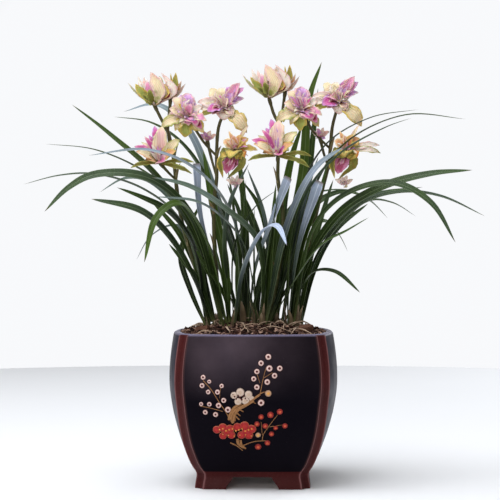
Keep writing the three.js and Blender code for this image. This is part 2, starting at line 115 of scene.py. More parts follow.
def new_finish(name, roughness, **sockets):
    """A material with its tree and shader. Sockets are what is the same all over it."""
    finish = bpy.data.materials.new(name)
    finish.use_nodes = True
    shader = finish.node_tree.nodes["Principled BSDF"]
    shader.inputs["Roughness"].default_value = roughness
    for socket, value in sockets.items():
        shader.inputs[socket.replace("_", " ")].default_value = value
    return finish, finish.node_tree, shader


def own_place(tree):
    return put(tree, "ShaderNodeTexCoord").outputs["Object"]


def grain(tree, scale, detail=3, stretch=None, distortion=0.0):
    """Noise by place on the object, 0 to 1, with its scale in grains per metre."""
    place = own_place(tree)
    if stretch:
        place = put(tree, "ShaderNodeMapping", {"Vector": place, "Scale": stretch}).outputs[0]
    wires = {"Vector": place, "Scale": scale, "Detail": detail, "Distortion": distortion}
    return put(tree, "ShaderNodeTexNoise", wires).outputs[0]


def ranged(tree, value, low, high, to_low=0.0, to_high=1.0):
    wires = {0: value, 1: low, 2: high, 3: to_low, 4: to_high}
    return put(tree, "ShaderNodeMapRange", wires, clamp=True).outputs[0]


def mixed(tree, share, first, second, how="MIX"):
    """Two colours mixed. Each is a socket or (red, green, blue), and share is a socket or number."""
    wires = {0: share}
    for place, colour in ((6, first), (7, second)):
        wires[place] = colour if isinstance(colour, bpy.types.NodeSocket) else (*colour, 1)
    return put(tree, "ShaderNodeMix", wires, data_type="RGBA", blend_type=how).outputs[2]


def maths(tree, how, first, second=0.0):
    return put(tree, "ShaderNodeMath", {0: first, 1: second}, operation=how).outputs[0]


def times(tree, first, second):
    return maths(tree, "MULTIPLY", first, second)


def read(tree, name, what="Fac"):
    return put(tree, "ShaderNodeAttribute", attribute_name=name).outputs[what]


def covered(tree, shader, coat, height, depth, strength, roughness=None):
    """Wires a shader to its colour, a fine relief of some depth in metres and a varying roughness."""
    tree.links.new(coat, shader.inputs["Base Color"])
    if roughness is not None:
        tree.links.new(roughness, shader.inputs["Roughness"])
    bump = put(tree, "ShaderNodeBump", {"Height": height, "Distance": depth, "Strength": strength})
    tree.links.new(bump.outputs[0], shader.inputs["Normal"])


def piece_from(name, points, faces=(), edges=()):
    mesh = bpy.data.meshes.new(name)
    mesh.from_pydata([tuple(p) for p in points], list(edges), list(faces))
    piece = bpy.data.objects.new(name, mesh)
    bpy.context.scene.collection.objects.link(piece)
    return piece


def circle(radius, sides):
    turns = np.linspace(0, 2 * math.pi, sides + 1)[:-1]
    return [(radius * math.cos(turn), radius * math.sin(turn)) for turn in turns]


floor_edge = [(x, y, 0) for x, y in circle(FLOOR_RADIUS, FLOOR_SIDES)]
floor = piece_from("floor", floor_edge, [tuple(range(FLOOR_SIDES))])
floor_paint, floor_tree, floor_shader = new_finish("pale_floor", 0.8)
floor_tone = mixed(floor_tree, grain(floor_tree, 3), (0.84, 0.84, 0.84), (0.87, 0.87, 0.87))
floor_tree.links.new(floor_tone, floor_shader.inputs["Base Color"])
floor.data.materials.append(floor_paint)

# ---- Pot ----
# A square planter pressed from dark clay: four swelling panels under a satin black glaze, with
# red-brown glaze on the hollowed corner strips, the plinth band and the four bracket feet.
POT_HEIGHT = 0.153
POT_WALL = 0.007
CUT_CORNER = 0.0085
INNER_CUT_CORNER = 0.005
STRIP_HOLLOW = 0.0006
BAND_TOP = 0.0174
FLOOR_TOP = 0.020
LIP_ROUND = 0.0026
DRAIN_RADIUS = 0.009
DRAIN_SIDES = 32
ARRIS_BEVEL = 0.0006
PANEL_STEPS = 24
CHANNEL_REACH = 0.1
DRAIN_LEVELS = (0.006, 0.026)
SHARP_TURN = math.radians(38)
EDGE_WEAR_AND_HIGHLIGHT_WIDTH = 0.0009
GLAZE_DOWN_INSIDE = 0.004
LIP_DEPTH = 0.0012
POT_SIDE_MM = [(0, 58), (5, 57.5), (14, 56.5), (24, 62.5), (48, 73.5), (72, 80.8), (96, 84.8),
               (116, 85), (136, 83.2), (153, 80.6)]
NOTCH_MM = [(26.2, -1), (25.6, 1.5), (24.0, 4.5), (21.8, 7), (20.4, 9), (19.4, 11), (18.0, 12)]


def smooth_route(points, count):
    """Evenly spaced points on a smooth curve through the given ones."""
    knots = np.array(points, float)
    knots = np.vstack([2 * knots[0] - knots[1], knots, 2 * knots[-1] - knots[-2]])
    dense = [knots[1]]
    for a, b, c, d in zip(knots, knots[1:], knots[2:], knots[3:]):
        tb = math.sqrt(np.linalg.norm(b - a))
        tc = tb + math.sqrt(np.linalg.norm(c - b))
        td = tc + math.sqrt(np.linalg.norm(d - c))
        for t in np.linspace(tb, tc, 13)[1:]:
            ab = (a * (tb - t) + b * t) / tb
            bc = (b * (tc - t) + c * (t - tb)) / (tc - tb)
            cd = (c * (td - t) + d * (t - tc)) / (td - tc)
            abc = (ab * (tc - t) + bc * t) / tc
            bcd = (bc * (td - t) + cd * (t - tb)) / (td - tb)
            dense.append((abc * (tc - t) + bcd * (t - tb)) / (tc - tb))
    dense = np.array(dense)
    reach = np.concatenate([[0], np.cumsum(np.linalg.norm(np.diff(dense, axis=0), axis=1))])
    even = np.linspace(0, reach[-1], count)
    return np.stack([np.interp(even, reach, dense[:, k]) for k in range(dense.shape[1])], axis=1)


pot_side = smooth_route(POT_SIDE_MM, 160) * MM


def panel_edge(height):
    """How far out a panel's upright edges are, and how far its middle swells past them."""
    rise = min(max((height - 0.005) / 0.09, 0), 1)
    swell = 0.001 + 0.0085 * rise * rise * (3 - 2 * rise)
    return np.interp(height, pot_side[:, 0], pot_side[:, 1]) - swell, swell


def pot_plan(height, inset, corner, hollow=0.0):
    """One level of the pot: four swelling sides, each followed by its corner strip."""
    edge, swell = panel_edge(height)
    edge -= inset
    side = []
    for step in range(PANEL_STEPS + 1):
        across = math.sin(math.pi * (step / PANEL_STEPS - 0.5))
        side.append((across * (edge - corner), -(edge + swell * (1 - across * across))))
    for share in (0.12, 0.5, 0.88):
        dip = hollow * math.sin(math.pi * share)
        side.append((edge - corner + corner * share - dip, -edge + corner * share + dip))
    ring = []
    for _ in range(4):
        ring.extend((x, y, height) for x, y in side)
        side = [(-y, x) for x, y in side]
    return ring


def skin(rings):
    """Points and faces of a skin over rings of equal count, with its ends closed by fans."""
    count = len(rings[0])
    points = [p for ring in rings for p in ring]
    faces = []
    for level in range(len(rings) - 1):
        low, high = level * count, (level + 1) * count
        for i in range(count):
            j = (i + 1) % count
            faces.append((low + i, low + j, high + j, high + i))
    for start, turned in ((0, True), ((len(rings) - 1) * count, False)):
        middle = len(points)
        points.append(tuple(np.mean(points[start:start + count], axis=0)))
        for i in range(count):
            pair = (start + i, start + (i + 1) % count)
            faces.append((middle, *(pair[::-1] if turned else pair)))
    return points, faces


outer_levels = [0, 0.002, 0.005, 0.0085, 0.0115, 0.0145, BAND_TOP, 0.021, 0.026]
outer_levels += list(np.linspace(0.032, POT_HEIGHT - LIP_ROUND, 22))
pot_rings = [pot_plan(z, 0, CUT_CORNER, STRIP_HOLLOW) for z in outer_levels]
for turn in (20, 45, 70, 90):
    rise = LIP_ROUND * math.sin(math.radians(turn))
    inset = LIP_ROUND * (1 - math.cos(math.radians(turn)))
    level = POT_HEIGHT - LIP_ROUND + rise
    pot_rings.append([(x, y, level) for x, y, _ in pot_plan(level, inset, CUT_CORNER)])
for inset, level in ((POT_WALL - 0.0012, POT_HEIGHT), (POT_WALL - 0.0003, POT_HEIGHT - 0.0006)):
    pot_rings.append([(x, y, level) for x, y, _ in pot_plan(POT_HEIGHT, inset, INNER_CUT_CORNER + 0.001)])
for level in np.linspace(POT_HEIGHT - 0.002, FLOOR_TOP, 14):
    pot_rings.append(pot_plan(level, POT_WALL, INNER_CUT_CORNER))
pot = piece_from("pot_fired", *skin(pot_rings))

notch = [(x * MM, z * MM) for x, z in NOTCH_MM] + [(-x * MM, z * MM) for x, z in NOTCH_MM[::-1]]
cutters = []
for along_y in (True, False):
    ends = []
    for far in (-CHANNEL_REACH, CHANNEL_REACH):
        ends.append([(x, far, z) if along_y else (far, x, z) for x, z in notch])
    points = ends[0] + ends[1]
    count = len(notch)
    faces = [tuple(range(count)), tuple(range(2 * count - 1, count - 1, -1))]
    for i in range(count):
        j = (i + 1) % count
        faces.append((j, i, i + count, j + count))
    if not along_y:
        faces = [face[::-1] for face in faces]
    cutters.append(piece_from("foot_channel", points, faces))
drain_ends = [[(x, y, z) for x, y in circle(DRAIN_RADIUS, DRAIN_SIDES)] for z in DRAIN_LEVELS]
cutters.append(piece_from("drain", *skin(drain_ends)))
for cutter in cutters:
    cut = pot.modifiers.new("cut", "BOOLEAN")
    cut.operation = "DIFFERENCE"
    cut.solver = "EXACT"
    cut.object = cutter
arris = pot.modifiers.new("arris", "BEVEL")
arris.width = ARRIS_BEVEL
arris.segments = 2
arris.limit_method = "ANGLE"
arris.angle_limit = math.radians(24)


def made_plain(pieces):
    """Turns each piece's modifiers into plain mesh."""
    bpy.context.view_layer.update()
    depsgraph = bpy.context.evaluated_depsgraph_get()
    for piece in pieces:
        mesh = bpy.data.meshes.new_from_object(
            piece.evaluated_get(depsgraph), preserve_all_data_layers=True, depsgraph=depsgraph)
        piece.modifiers.clear()
        piece.data = mesh
        mesh.name = piece.name


def shade(piece, smooth):
    piece.data.polygons.foreach_set("use_smooth", [smooth] * len(piece.data.polygons))


made_plain([pot])
for cutter in cutters:
    bpy.data.objects.remove(cutter)
shade(pot, True)
pot.data.set_sharp_from_angle(angle=SHARP_TURN)


def panel_place(point):
    """Where a point is on the pot: (distance inside the outer skin, distance past the panel's edge)."""
    edge, swell = panel_edge(point.z)
    far, near = max(abs(point.x), abs(point.y)), min(abs(point.x), abs(point.y))
    half = edge - CUT_CORNER
    skin_at = edge + swell * (1 - min(near / half, 1) ** 2)
    return skin_at - far, near - half


# How near each point is to an arris. The edges there are painted lighter: partly glaze worn thin, partly a
# painted highlight along the rounded edge.
worn_and_highlit_edge = pot.data.attributes.new("arris", "FLOAT", "POINT")
edge_wear_and_highlight = []
for vertex in pot.data.vertices:
    edge, _ = panel_edge(vertex.co.z)
    far, near = max(abs(vertex.co.x), abs(vertex.co.y)), min(abs(vertex.co.x), abs(vertex.co.y))
    gap = math.hypot(far - edge, near - edge + CUT_CORNER)
    edge_wear_and_highlight.append(math.exp(-(gap / EDGE_WEAR_AND_HIGHLIGHT_WIDTH) ** 2))
worn_and_highlit_edge.data.foreach_set("value", edge_wear_and_highlight)

black_glaze, tree, shader = new_finish("satin_black_glaze", 0.4, Specular_IOR_Level=0.045,
                                       Specular_Tint=(0.70, 0.66, 1.0, 1))
cloud = grain(tree, 22, 4)
coat = mixed(tree, cloud, (0.0012, 0.0008, 0.0018), (0.004, 0.0028, 0.0042))
at = parts(tree, own_place(tree))
# Painted highlight: a pale patch on the upper part of the panels, strongest left of the middle, where the
# front light's reflection falls.
painted_highlight = times(tree, ranged(tree, at[2], 0.088, 0.138), ranged(tree, cloud, 0.3, 0.7, 0.45, 1.0))
painted_highlight = times(tree, painted_highlight, ranged(tree, at[0], -0.015, 0.055, 1.0, 0.15))
painted_highlight = times(tree, painted_highlight, ranged(tree, at[0], -0.072, -0.045, 0.2, 1.0))
coat = mixed(tree, painted_highlight, coat, (0.070, 0.050, 0.060))
# Painted sheen: faces turned sideways are tinted violet-grey to stand for the reflection they catch.
facing = parts(tree, put(tree, "ShaderNodeNewGeometry").outputs["Normal"])
sideways = ranged(tree, maths(tree, "ABSOLUTE", facing[0]), 0.6, 0.95)
coat = mixed(tree, sideways, coat, (0.012, 0.010, 0.022))
# Painted sheen: the upward-facing lip is tinted pale lavender to stand for the light it reflects.
painted_lip_sheen = times(tree, ranged(tree, facing[2], 0.35, 0.95), ranged(tree, at[2], 0.148, 0.1515))
coat = mixed(tree, times(tree, painted_lip_sheen, 0.8), coat, (0.20, 0.18, 0.27))
dust = ranged(tree, grain(tree, 900, 2), 0.73, 0.8)
coat = mixed(tree, times(tree, dust, 0.35), coat, (0.12, 0.10, 0.11))
# Lighter along the arrises: partly glaze wear, partly a painted highlight.
coat = mixed(tree, times(tree, read(tree, "arris"), 0.6), coat, (0.10, 0.045, 0.04))
covered(tree, shader, coat, grain(tree, 420, 3), 0.0002, 0.25,
        roughness=ranged(tree, grain(tree, 60, 5), 0.3, 0.7, 0.30, 0.44))

red_glaze, tree, shader = new_finish("red_brown_glaze", 0.4, Specular_IOR_Level=0.07)
coat = mixed(tree, grain(tree, 40, 5), (0.030, 0.0036, 0.0042), (0.062, 0.0095, 0.009))
mottle = ranged(tree, grain(tree, 500, 3), 0.55, 0.75)
coat = mixed(tree, times(tree, mottle, 0.5), coat, (0.085, 0.022, 0.020))
# Lighter along the arrises: partly glaze wear, partly a painted highlight.
coat = mixed(tree, times(tree, read(tree, "arris"), 0.75), coat, (0.27, 0.12, 0.12))
covered(tree, shader, coat, grain(tree, 380, 4), 0.0003, 0.3,
        roughness=ranged(tree, grain(tree, 80, 4), 0.3, 0.7, 0.36, 0.52))



def mottled_finish(name, roughness, mottle, colours, relief, depth, strength, **sockets):
    """Two colours mixed by one grain, with a relief from another. Each grain is (scale, detail)."""
    finish, tree, shader = new_finish(name, roughness, **sockets)
    coat = mixed(tree, grain(tree, *mottle), *colours)
    covered(tree, shader, coat, grain(tree, *relief), depth, strength)
    return finish


bare_clay = mottled_finish("bare_clay", 0.9, (150, 5), ((0.10, 0.045, 0.030), (0.17, 0.085, 0.06)),
                           (900, 4), 0.0004, 0.5)

BLACK, RED, BARE = range(3)
for finish in (black_glaze, red_glaze, bare_clay):
    pot.data.materials.append(finish)
for face in pot.data.polygons:
    inside, past_edge = panel_place(face.center)
    if inside > POT_WALL / 2 and face.center.z < POT_HEIGHT - GLAZE_DOWN_INSIDE:
        face.material_index = BARE
    elif face.center.z > POT_HEIGHT - LIP_DEPTH:
        face.material_index = BLACK
    elif past_edge > -0.0002 or face.center.z < BAND_TOP:
        face.material_index = RED
    else:
        face.material_index = BLACK
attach(pot, "root")
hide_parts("pot")

# ---- Raised slip pattern ----
# Blossom sprays trailed on the front panel in thick coloured slip before firing: ringed white buds,
# red buds, white petals with wine-red stamens and red petals dotted with gold, on gold-brown twigs.
WHITE_BUDS_MM = [
    (-47, 112, 2.5), (-41, 108, 2), (-48, 104, 2.6), (-42, 98, 2.4), (-29, 104, 2.2), (-33, 98, 2.6),
    (-27, 90, 2.6), (-49, 86, 2.1), (-41, 86, 2.4), (-32, 85, 2.8), (-23, 81, 3.1), (-45, 78, 2.5),
    (-35, 76, 2.6), (16, 132, 3), (9, 126, 2.8), (17, 121, 3.2), (27, 121, 2.8), (5, 118, 2.7),
    (22, 114, 2.8), (2, 111, 2.6), (15, 108, 2.9), (5, 103, 2.8), (9, 88, 3.3),
]
WHITE_PETALS_MM = [
    (-17, 95, 3.6), (-11, 98, 4.3), (-3, 96, 3.9), (-13, 89, 3.9), (-6, 90, 4.2), (0, 92, 2.8),
]
RED_PETALS_MM = [
    (-34, 61, 4.0), (-28, 63, 4.6), (-21, 62, 4.4), (-28, 55, 3.8), (-20, 56, 4.2), (-14, 64, 4.2),
    (-7, 65, 4.8), (0, 62, 4.5), (-10, 56, 4.2), (-3, 56, 4.4), (-24, 59, 3.6), (-6, 60, 3.8),
]
RED_BUDS_MM = [
    (9, 74, 2.8), (18, 76, 3.3), (27, 79, 3.1), (5, 67, 2.8), (13, 65, 2.9), (23, 63, 2.4),
    (32, 65, 2.8), (19, 57, 2.7), (15, 48, 3), (6, 44, 3.3),
]
GOLD_BUDS_MM = [(16, 97, 3.3), (6, 56, 2.7)]
TWIGS_MM = [
    (0.9, [(-47, 109), (-39, 100), (-32, 89), (-26, 80), (-21, 72), (-17, 68)]),
    (0.7, [(-50, 84), (-39, 82), (-28, 79)]),
    (0.6, [(-30, 103), (-31, 92)]),
    (3.2, [(-18, 68), (-20, 73), (-16, 81), (-8, 85), (1, 91), (8, 96)]),
    (3.4, [(-17, 70), (-17, 75), (-13, 81), (-6, 85), (2, 90)]),
    (3.0, [(-22, 71), (-21, 76), (-17, 83), (-10, 87)]),
    (1.2, [(6, 95), (11, 98), (16, 98)]),
    (0.8, [(8, 96), (10, 106), (12, 115), (14, 122)]),
    (0.6, [(5, 116), (8, 107)]),
    (0.6, [(12, 112), (20, 117)]),
    (1.5, [(-21, 71), (-24, 77)]),
    (1.6, [(-17, 76), (-12, 71)]),
    (1.6, [(-16, 79), (-11, 75)]),
    (1.5, [(-13, 82), (-8, 79)]),
    (1.1, [(-1, 90), (4, 87)]),
    (3.4, [(-14, 52), (-13, 47), (-8, 43)]),
    (2.6, [(-11, 51), (-10, 46), (-6, 42)]),
    (1.2, [(-21, 48), (-15, 45), (-9, 40)]),
    (1.0, [(-9, 45), (1, 49), (10, 50), (15, 50)]),
    (0.8, [(10, 50), (11, 56), (16, 64), (25, 76)]),
    (0.6, [(10, 56), (9, 69)]),
    (0.6, [(17, 64), (23, 65), (31, 66)]),
]


def on_front(x, z):
    """The point of the front panel at x across and z up, and the way it faces."""
    def point(u, w):
        edge, swell = panel_edge(w)
        return Vector((u, -(edge + swell * (1 - (u / (edge - CUT_CORNER)) ** 2)), w))
    step = 0.0005
    facing = (point(x + step, z) - point(x - step, z)).cross(point(x, z + step) - point(x, z - step))
    return point(x, z), facing.normalized()


def tree_with(name, sizes):
    """An empty geometry tree with its own shape in, named sizes, and the made shape out."""
    tree = bpy.data.node_groups.new(name, "GeometryNodeTree")
    tree.interface.new_socket("Route", in_out="INPUT", socket_type="NodeSocketGeometry")
    for size, value in sizes.items():
        kind = {float: "NodeSocketFloat", int: "NodeSocketInt"}[type(value)]
        tree.interface.new_socket(size, in_out="INPUT", socket_type=kind).default_value = value
    tree.interface.new_socket("Finish", in_out="INPUT", socket_type="NodeSocketMaterial")
    tree.interface.new_socket("Made", in_out="OUTPUT", socket_type="NodeSocketGeometry")
    return tree, put(tree, "NodeGroupInput")


def close_tree(tree, given, shape):
    real = put(tree, "GeometryNodeRealizeInstances", {0: shape}).outputs[0]
    smooth = put(tree, "GeometryNodeSetShadeSmooth", {0: real}).outputs[0]
    done = put(tree, "GeometryNodeSetMaterial", {"Geometry": smooth, "Material": given.outputs["Finish"]})
    put(tree, "NodeGroupOutput", {0: done.outputs[0]})


def stored(tree, shape, name, value, domain="POINT"):
    wires = {"Geometry": shape, "Name": name, "Value": value}
    return put(tree, "GeometryNodeStoreNamedAttribute", wires, data_type="FLOAT", domain=domain).outputs[0]


def noted(tree, name, kind="FLOAT"):
    return put(tree, "GeometryNodeInputNamedAttribute", {"Name": name}, data_type=kind).outputs[0]


def vector_maths(tree, how, first, second):
    return put(tree, "ShaderNodeVectorMath", {0: first, 1: second}, operation=how).outputs[0]


def dress(piece, tree, finish, **sizes):
    """Hangs a tree on a piece and sets its named sizes."""
    grow = piece.modifiers.new(tree.name, "NODES")
    grow.node_group = tree
    for socket in tree.interface.items_tree:
        if socket.in_out == "INPUT" and socket.name in sizes:
            grow[socket.identifier] = sizes[socket.name]
        elif socket.in_out == "INPUT" and socket.name == "Finish":
            grow[socket.identifier] = finish


def note_points(mesh, name, kind, values):
    """Stores one value for each point of a mesh: a number, a vector or a colour."""
    layer = mesh.attributes.new(name, kind, "POINT")
    field = {"FLOAT": "value", "FLOAT_VECTOR": "vector", "FLOAT_COLOR": "color"}[kind]
    layer.data.foreach_set(field, np.array(values, float).ravel())


bead_tree, given = tree_with("slip_beads", {"Height": 0.38, "Dimple": 0.3})
ball = put(bead_tree, "GeometryNodeMeshUVSphere", {"Segments": 14, "Rings": 9, "Radius": 1.0}).outputs[0]
place = put(bead_tree, "GeometryNodeInputPosition").outputs[0]
flat = vector_maths(bead_tree, "MULTIPLY", place, (1, 1, 0))
from_middle = put(bead_tree, "ShaderNodeVectorMath", {0: flat}, operation="LENGTH").outputs["Value"]
ball = stored(bead_tree, ball, "from_middle", from_middle)
dip = ranged(bead_tree, noted(bead_tree, "from_middle"), 0.15, 0.6, 1.0, 0.0)
dip = times(bead_tree, dip, given.outputs["Dimple"])
tall = parts(bead_tree, place)[2]
low = maths(bead_tree, "SUBTRACT", times(bead_tree, tall, given.outputs["Height"]), dip)
low = maths(bead_tree, "SUBTRACT", low, tall)
sink = put(bead_tree, "ShaderNodeCombineXYZ", {2: low}).outputs[0]
ball = put(bead_tree, "GeometryNodeSetPosition", {"Geometry": ball, "Offset": sink}).outputs[0]
turned = put(bead_tree, "FunctionNodeAlignRotationToVector",
             {"Vector": noted(bead_tree, "outward", "FLOAT_VECTOR")}, axis="Z").outputs[0]
dots = put(bead_tree, "GeometryNodeMeshToPoints", {"Mesh": given.outputs["Route"]}).outputs[0]
set_out = put(bead_tree, "GeometryNodeInstanceOnPoints",
              {"Points": dots, "Instance": ball, "Rotation": turned,
               "Scale": noted(bead_tree, "bead_size")})
close_tree(bead_tree, given, set_out.outputs[0])


def slip_beads(name, spots, colours, **sizes):
    """Beads of slip at (across, up, radius) in mm, with colours for middle, ring and outline."""
    places = [on_front(x * MM, z * MM) for x, z, _ in spots]
    piece = piece_from(name, [point for point, _ in places])
    note_points(piece.data, "outward", "FLOAT_VECTOR", [facing for _, facing in places])
    note_points(piece.data, "bead_size", "FLOAT", [radius * MM for _, _, radius in spots])
    finish, tree, shader = new_finish(name + "_slip", 0.42, Specular_IOR_Level=0.2)
    uneven = ranged(tree, grain(tree, 700, 2), 0, 1, -0.12, 0.12)
    ring = maths(tree, "ADD", read(tree, "from_middle"), uneven)
    coat = mixed(tree, ranged(tree, ring, 0.36, 0.5), *colours[:2])
    coat = mixed(tree, ranged(tree, ring, 0.80, 0.94), coat, colours[2])
    coat = mixed(tree, times(tree, grain(tree, 1500, 3), 0.45), coat, (0.5, 0.5, 0.5), "MULTIPLY")
    covered(tree, shader, coat, grain(tree, 1800, 2), 0.0002, 0.4)
    dress(piece, bead_tree, finish, **sizes)
    return piece


WINE = (0.09, 0.008, 0.008)
BLUSH = (0.72, 0.52, 0.47)
SCARLET = (0.42, 0.022, 0.018)
BRICK = (0.30, 0.022, 0.018)
GOLD = (0.70, 0.33, 0.07)
stamens = [(-18 + 1.7 * i, 96 - 1.9 * (i % 3) - i * 0.25, 0.8 + 0.2 * (i % 2)) for i in range(9)]
gold_dots = [(-31 + 3.1 * i, 61.5 + 1.2 * math.sin(i * 2.1), 1.0) for i in range(11)]
gold_dots += [(-28 + 5.5 * i, 56 + 0.8 * math.cos(i * 1.7), 0.85) for i in range(6)]
slip_pieces = [
    slip_beads("slip_white_buds", WHITE_BUDS_MM, (WINE, BLUSH, (0.40, 0.22, 0.18)),
               Height=0.42, Dimple=0.22),
    slip_beads("slip_white_petals", WHITE_PETALS_MM,
               ((0.55, 0.40, 0.30), (0.60, 0.47, 0.38), (0.24, 0.17, 0.13)), Dimple=0.08),
    slip_beads("slip_stamens", stamens, (WINE, WINE, WINE), Height=2.0, Dimple=0.0),
    slip_beads("slip_red_petals", RED_PETALS_MM, (SCARLET, (0.34, 0.016, 0.018), (0.46, 0.12, 0.06)),
               Dimple=0.05),
    slip_beads("slip_red_buds", RED_BUDS_MM, ((0.58, 0.10, 0.035), BRICK, (0.15, 0.02, 0.015)),
               Height=0.5, Dimple=0.0),
    slip_beads("slip_gold_buds", GOLD_BUDS_MM, (GOLD, (0.50, 0.30, 0.18), (0.25, 0.15, 0.10)),
               Height=0.5, Dimple=0.0),
    slip_beads("slip_gold_dots", gold_dots, (GOLD, GOLD, GOLD), Height=2.4, Dimple=0.0),
]

stalk_tree, given = tree_with("stalks", {"Sides": 8, "Flatness": 1.0})
line = put(stalk_tree, "GeometryNodeMeshToCurve", {"Mesh": given.outputs["Route"]}).outputs[0]
far = put(stalk_tree, "GeometryNodeSplineParameter").outputs["Factor"]
line = stored(stalk_tree, line, "along", far)
ring = put(stalk_tree, "GeometryNodeCurvePrimitiveCircle",
           {"Resolution": given.outputs["Sides"], "Radius": 1.0}).outputs[0]
tube = put(stalk_tree, "GeometryNodeCurveToMesh",
           {"Curve": line, "Profile Curve": ring, "Scale": noted(stalk_tree, "thick"), "Fill Caps": True})
close_tree(stalk_tree, given, tube.outputs[0])


def stalks(name, lines, finish, sides=8):
    """Tapering stalks in one piece: each line is (points, thickness at each), in metres."""
    points, edges, thick = [], [], []
    for route, widths in lines:
        edges.extend((len(points) + i, len(points) + i + 1) for i in range(len(route) - 1))
        points.extend(route)
        thick.extend(widths)
    piece = piece_from(name, points, edges=edges)
    note_points(piece.data, "thick", "FLOAT", thick)
    dress(piece, stalk_tree, finish, Sides=sides)
    return piece


gold_slip = mottled_finish("gold_brown_slip", 0.45, (450, 3), ((0.13, 0.050, 0.016), (0.40, 0.20, 0.075)),
                           (1500, 2), 0.0002, 0.4, Specular_IOR_Level=0.2)
twig_lines = []
for width, route in TWIGS_MM:
    steps = 4 * len(route)
    flat_route = smooth_route(route, steps) * MM
    widths = [width * MM * 0.5 * (1 - 0.35 * i / steps) for i in range(steps)]
    twig_lines.append(([on_front(x, z)[0] for x, z in flat_route], widths))
slip_pieces.append(stalks("slip_twigs", twig_lines, gold_slip))
made_plain(slip_pieces)
for piece in slip_pieces:
    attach(piece, "root")

# ---- Crock and drainage layer ----
# A broken arch of flowerpot keeps the drain hole open, under a layer of coarse pumice. Both keep
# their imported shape, and are out of sight but for what the drain hole shows.
terracotta = mottled_finish("broken_terracotta", 0.88, (120, 5), ((0.20, 0.065, 0.035), (0.36, 0.14, 0.08)),
                            (1100, 4), 0.0004, 0.6)


def refinish(node, finish):
    """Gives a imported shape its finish."""
    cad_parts[node].data.materials.clear()
    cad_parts[node].data.materials.append(finish)


refinish("crock", terracotta)

pumice, tree, shader = new_finish("coarse_pumice", 0.95)
STONES_PER_METRE = 170.0
stones = {"Vector": own_place(tree), "Scale": STONES_PER_METRE}
cells = put(tree, "ShaderNodeTexVoronoi", stones)
edges = put(tree, "ShaderNodeTexVoronoi", stones, feature="DISTANCE_TO_EDGE")
stone = put(tree, "ShaderNodeHueSaturation",
            {"Saturation": 0.12, "Value": 0.55, "Color": cells.outputs["Color"]})
coat = mixed(tree, 0.55, stone.outputs[0], (0.26, 0.22, 0.17))
# Painted shade: the gaps between the stones are darkened to near black.
gaps = ranged(tree, edges.outputs["Distance"], 0.0, 0.12)
coat = mixed(tree, gaps, (0.03, 0.025, 0.02), coat)
covered(tree, shader, coat, maths(tree, "ADD", gaps, times(tree, grain(tree, 900), 0.3)), 0.0015, 0.8)
refinish("drainage_gravel", pumice)

# ---- Rhizome ----
# One creeping stem with seven ribbed green pseudobulbs and fleshy pale roots, grown as one. It
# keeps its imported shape, and only the shoulders of the bulbs show above the bark.
bulb_skin, tree, shader = new_finish("ribbed_bulb_skin", 0.5)
ribs = grain(tree, 90, 4, stretch=(6, 6, 1))
height = parts(tree, own_place(tree))[2]
coat = mixed(tree, ribs, (0.10, 0.12, 0.025), (0.24, 0.23, 0.08))
coat = mixed(tree, ranged(tree, height, 0.128, 0.150), (0.50, 0.42, 0.28), coat)
covered(tree, shader, coat, ribs, 0.0006, 0.5)
refinish("rhizome_with_pseudobulbs", bulb_skin)

# ---- Bark mix ----
# Composted orchid bark: a fine dark heap filling the pot, hundreds of loose chips lying on it, two
# big chips at its edge, and the dry strips and old roots that work up to its surface.
HEAP_CROWN = 0.1605
HEAP_EDGE = 0.1505
HEAP_REACH = 0.078
HEAP_LUMP = 0.0013
FIT_GAP = 0.0004
DRAINAGE_TOP = 0.044
CHIP_TURN_LOW = (-0.6, -0.6, 0)
CHIP_TURN_HIGH = (0.6, 0.6, 6.28)
SMALLEST_CHIP = (0.0028, 0.0012, 0.0010)
LARGEST_CHIP = (0.0095, 0.0042, 0.0030)
STRIP_COUNT = 46
STRIP_STEPS = 8


def heap_height(x, y):
    """Height of the bark over a point."""
    out = min(math.hypot(x, y) / HEAP_REACH, 1)
    lump = math.sin(x * 190 + 1.1) * math.cos(y * 170 + 0.4)
    return HEAP_CROWN + (HEAP_EDGE - HEAP_CROWN) * out * out + HEAP_LUMP * lump * (1 - 0.5 * out)


fill_levels = np.linspace(DRAINAGE_TOP + FIT_GAP, HEAP_EDGE - 0.002, 10)
heap_rings = [pot_plan(z, POT_WALL + FIT_GAP, INNER_CUT_CORNER) for z in fill_levels]
heap_top = []
for share in np.linspace(0.99, 0.02, 16):
    plan = pot_plan(HEAP_EDGE, POT_WALL + FIT_GAP, INNER_CUT_CORNER)
    heap_top.append([(x * share, y * share, heap_height(x * share, y * share)) for x, y, _ in plan])
heap = piece_from("bark_heap", *skin(heap_rings + heap_top))
shade(heap, True)
fine_bark, tree, shader = new_finish("fine_dark_bark", 0.95, Specular_IOR_Level=0.1)
crumbs = put(tree, "ShaderNodeTexVoronoi", {"Vector": own_place(tree), "Scale": 420.0})
coat = mixed(tree, grain(tree, 260, 6), (0.007, 0.003, 0.002), (0.09, 0.040, 0.025))
coat = mixed(tree, ranged(tree, crumbs.outputs["Distance"], 0.1, 0.6), coat, (0.008, 0.005, 0.004))
rough = maths(tree, "ADD", grain(tree, 700, 5), crumbs.outputs["Distance"])
covered(tree, shader, coat, rough, 0.0015, 0.9)
heap.data.materials.append(fine_bark)

chip_bark, tree, shader = new_finish("loose_bark", 0.85, Specular_IOR_Level=0.15)
tone = read(tree, "tone")
fibres = grain(tree, 500, 4, stretch=(1, 0.35, 1))
coat = mixed(tree, ranged(tree, tone, 0.0, 0.55), (0.006, 0.003, 0.003), (0.085, 0.035, 0.023))
coat = mixed(tree, ranged(tree, tone, 0.6, 1.0), coat, (0.60, 0.40, 0.30))
coat = mixed(tree, ranged(tree, fibres, 0.35, 0.7, 0.75, 0.0), coat, (0.25, 0.2, 0.18), "MULTIPLY")
covered(tree, shader, coat, fibres, 0.0006, 0.8)


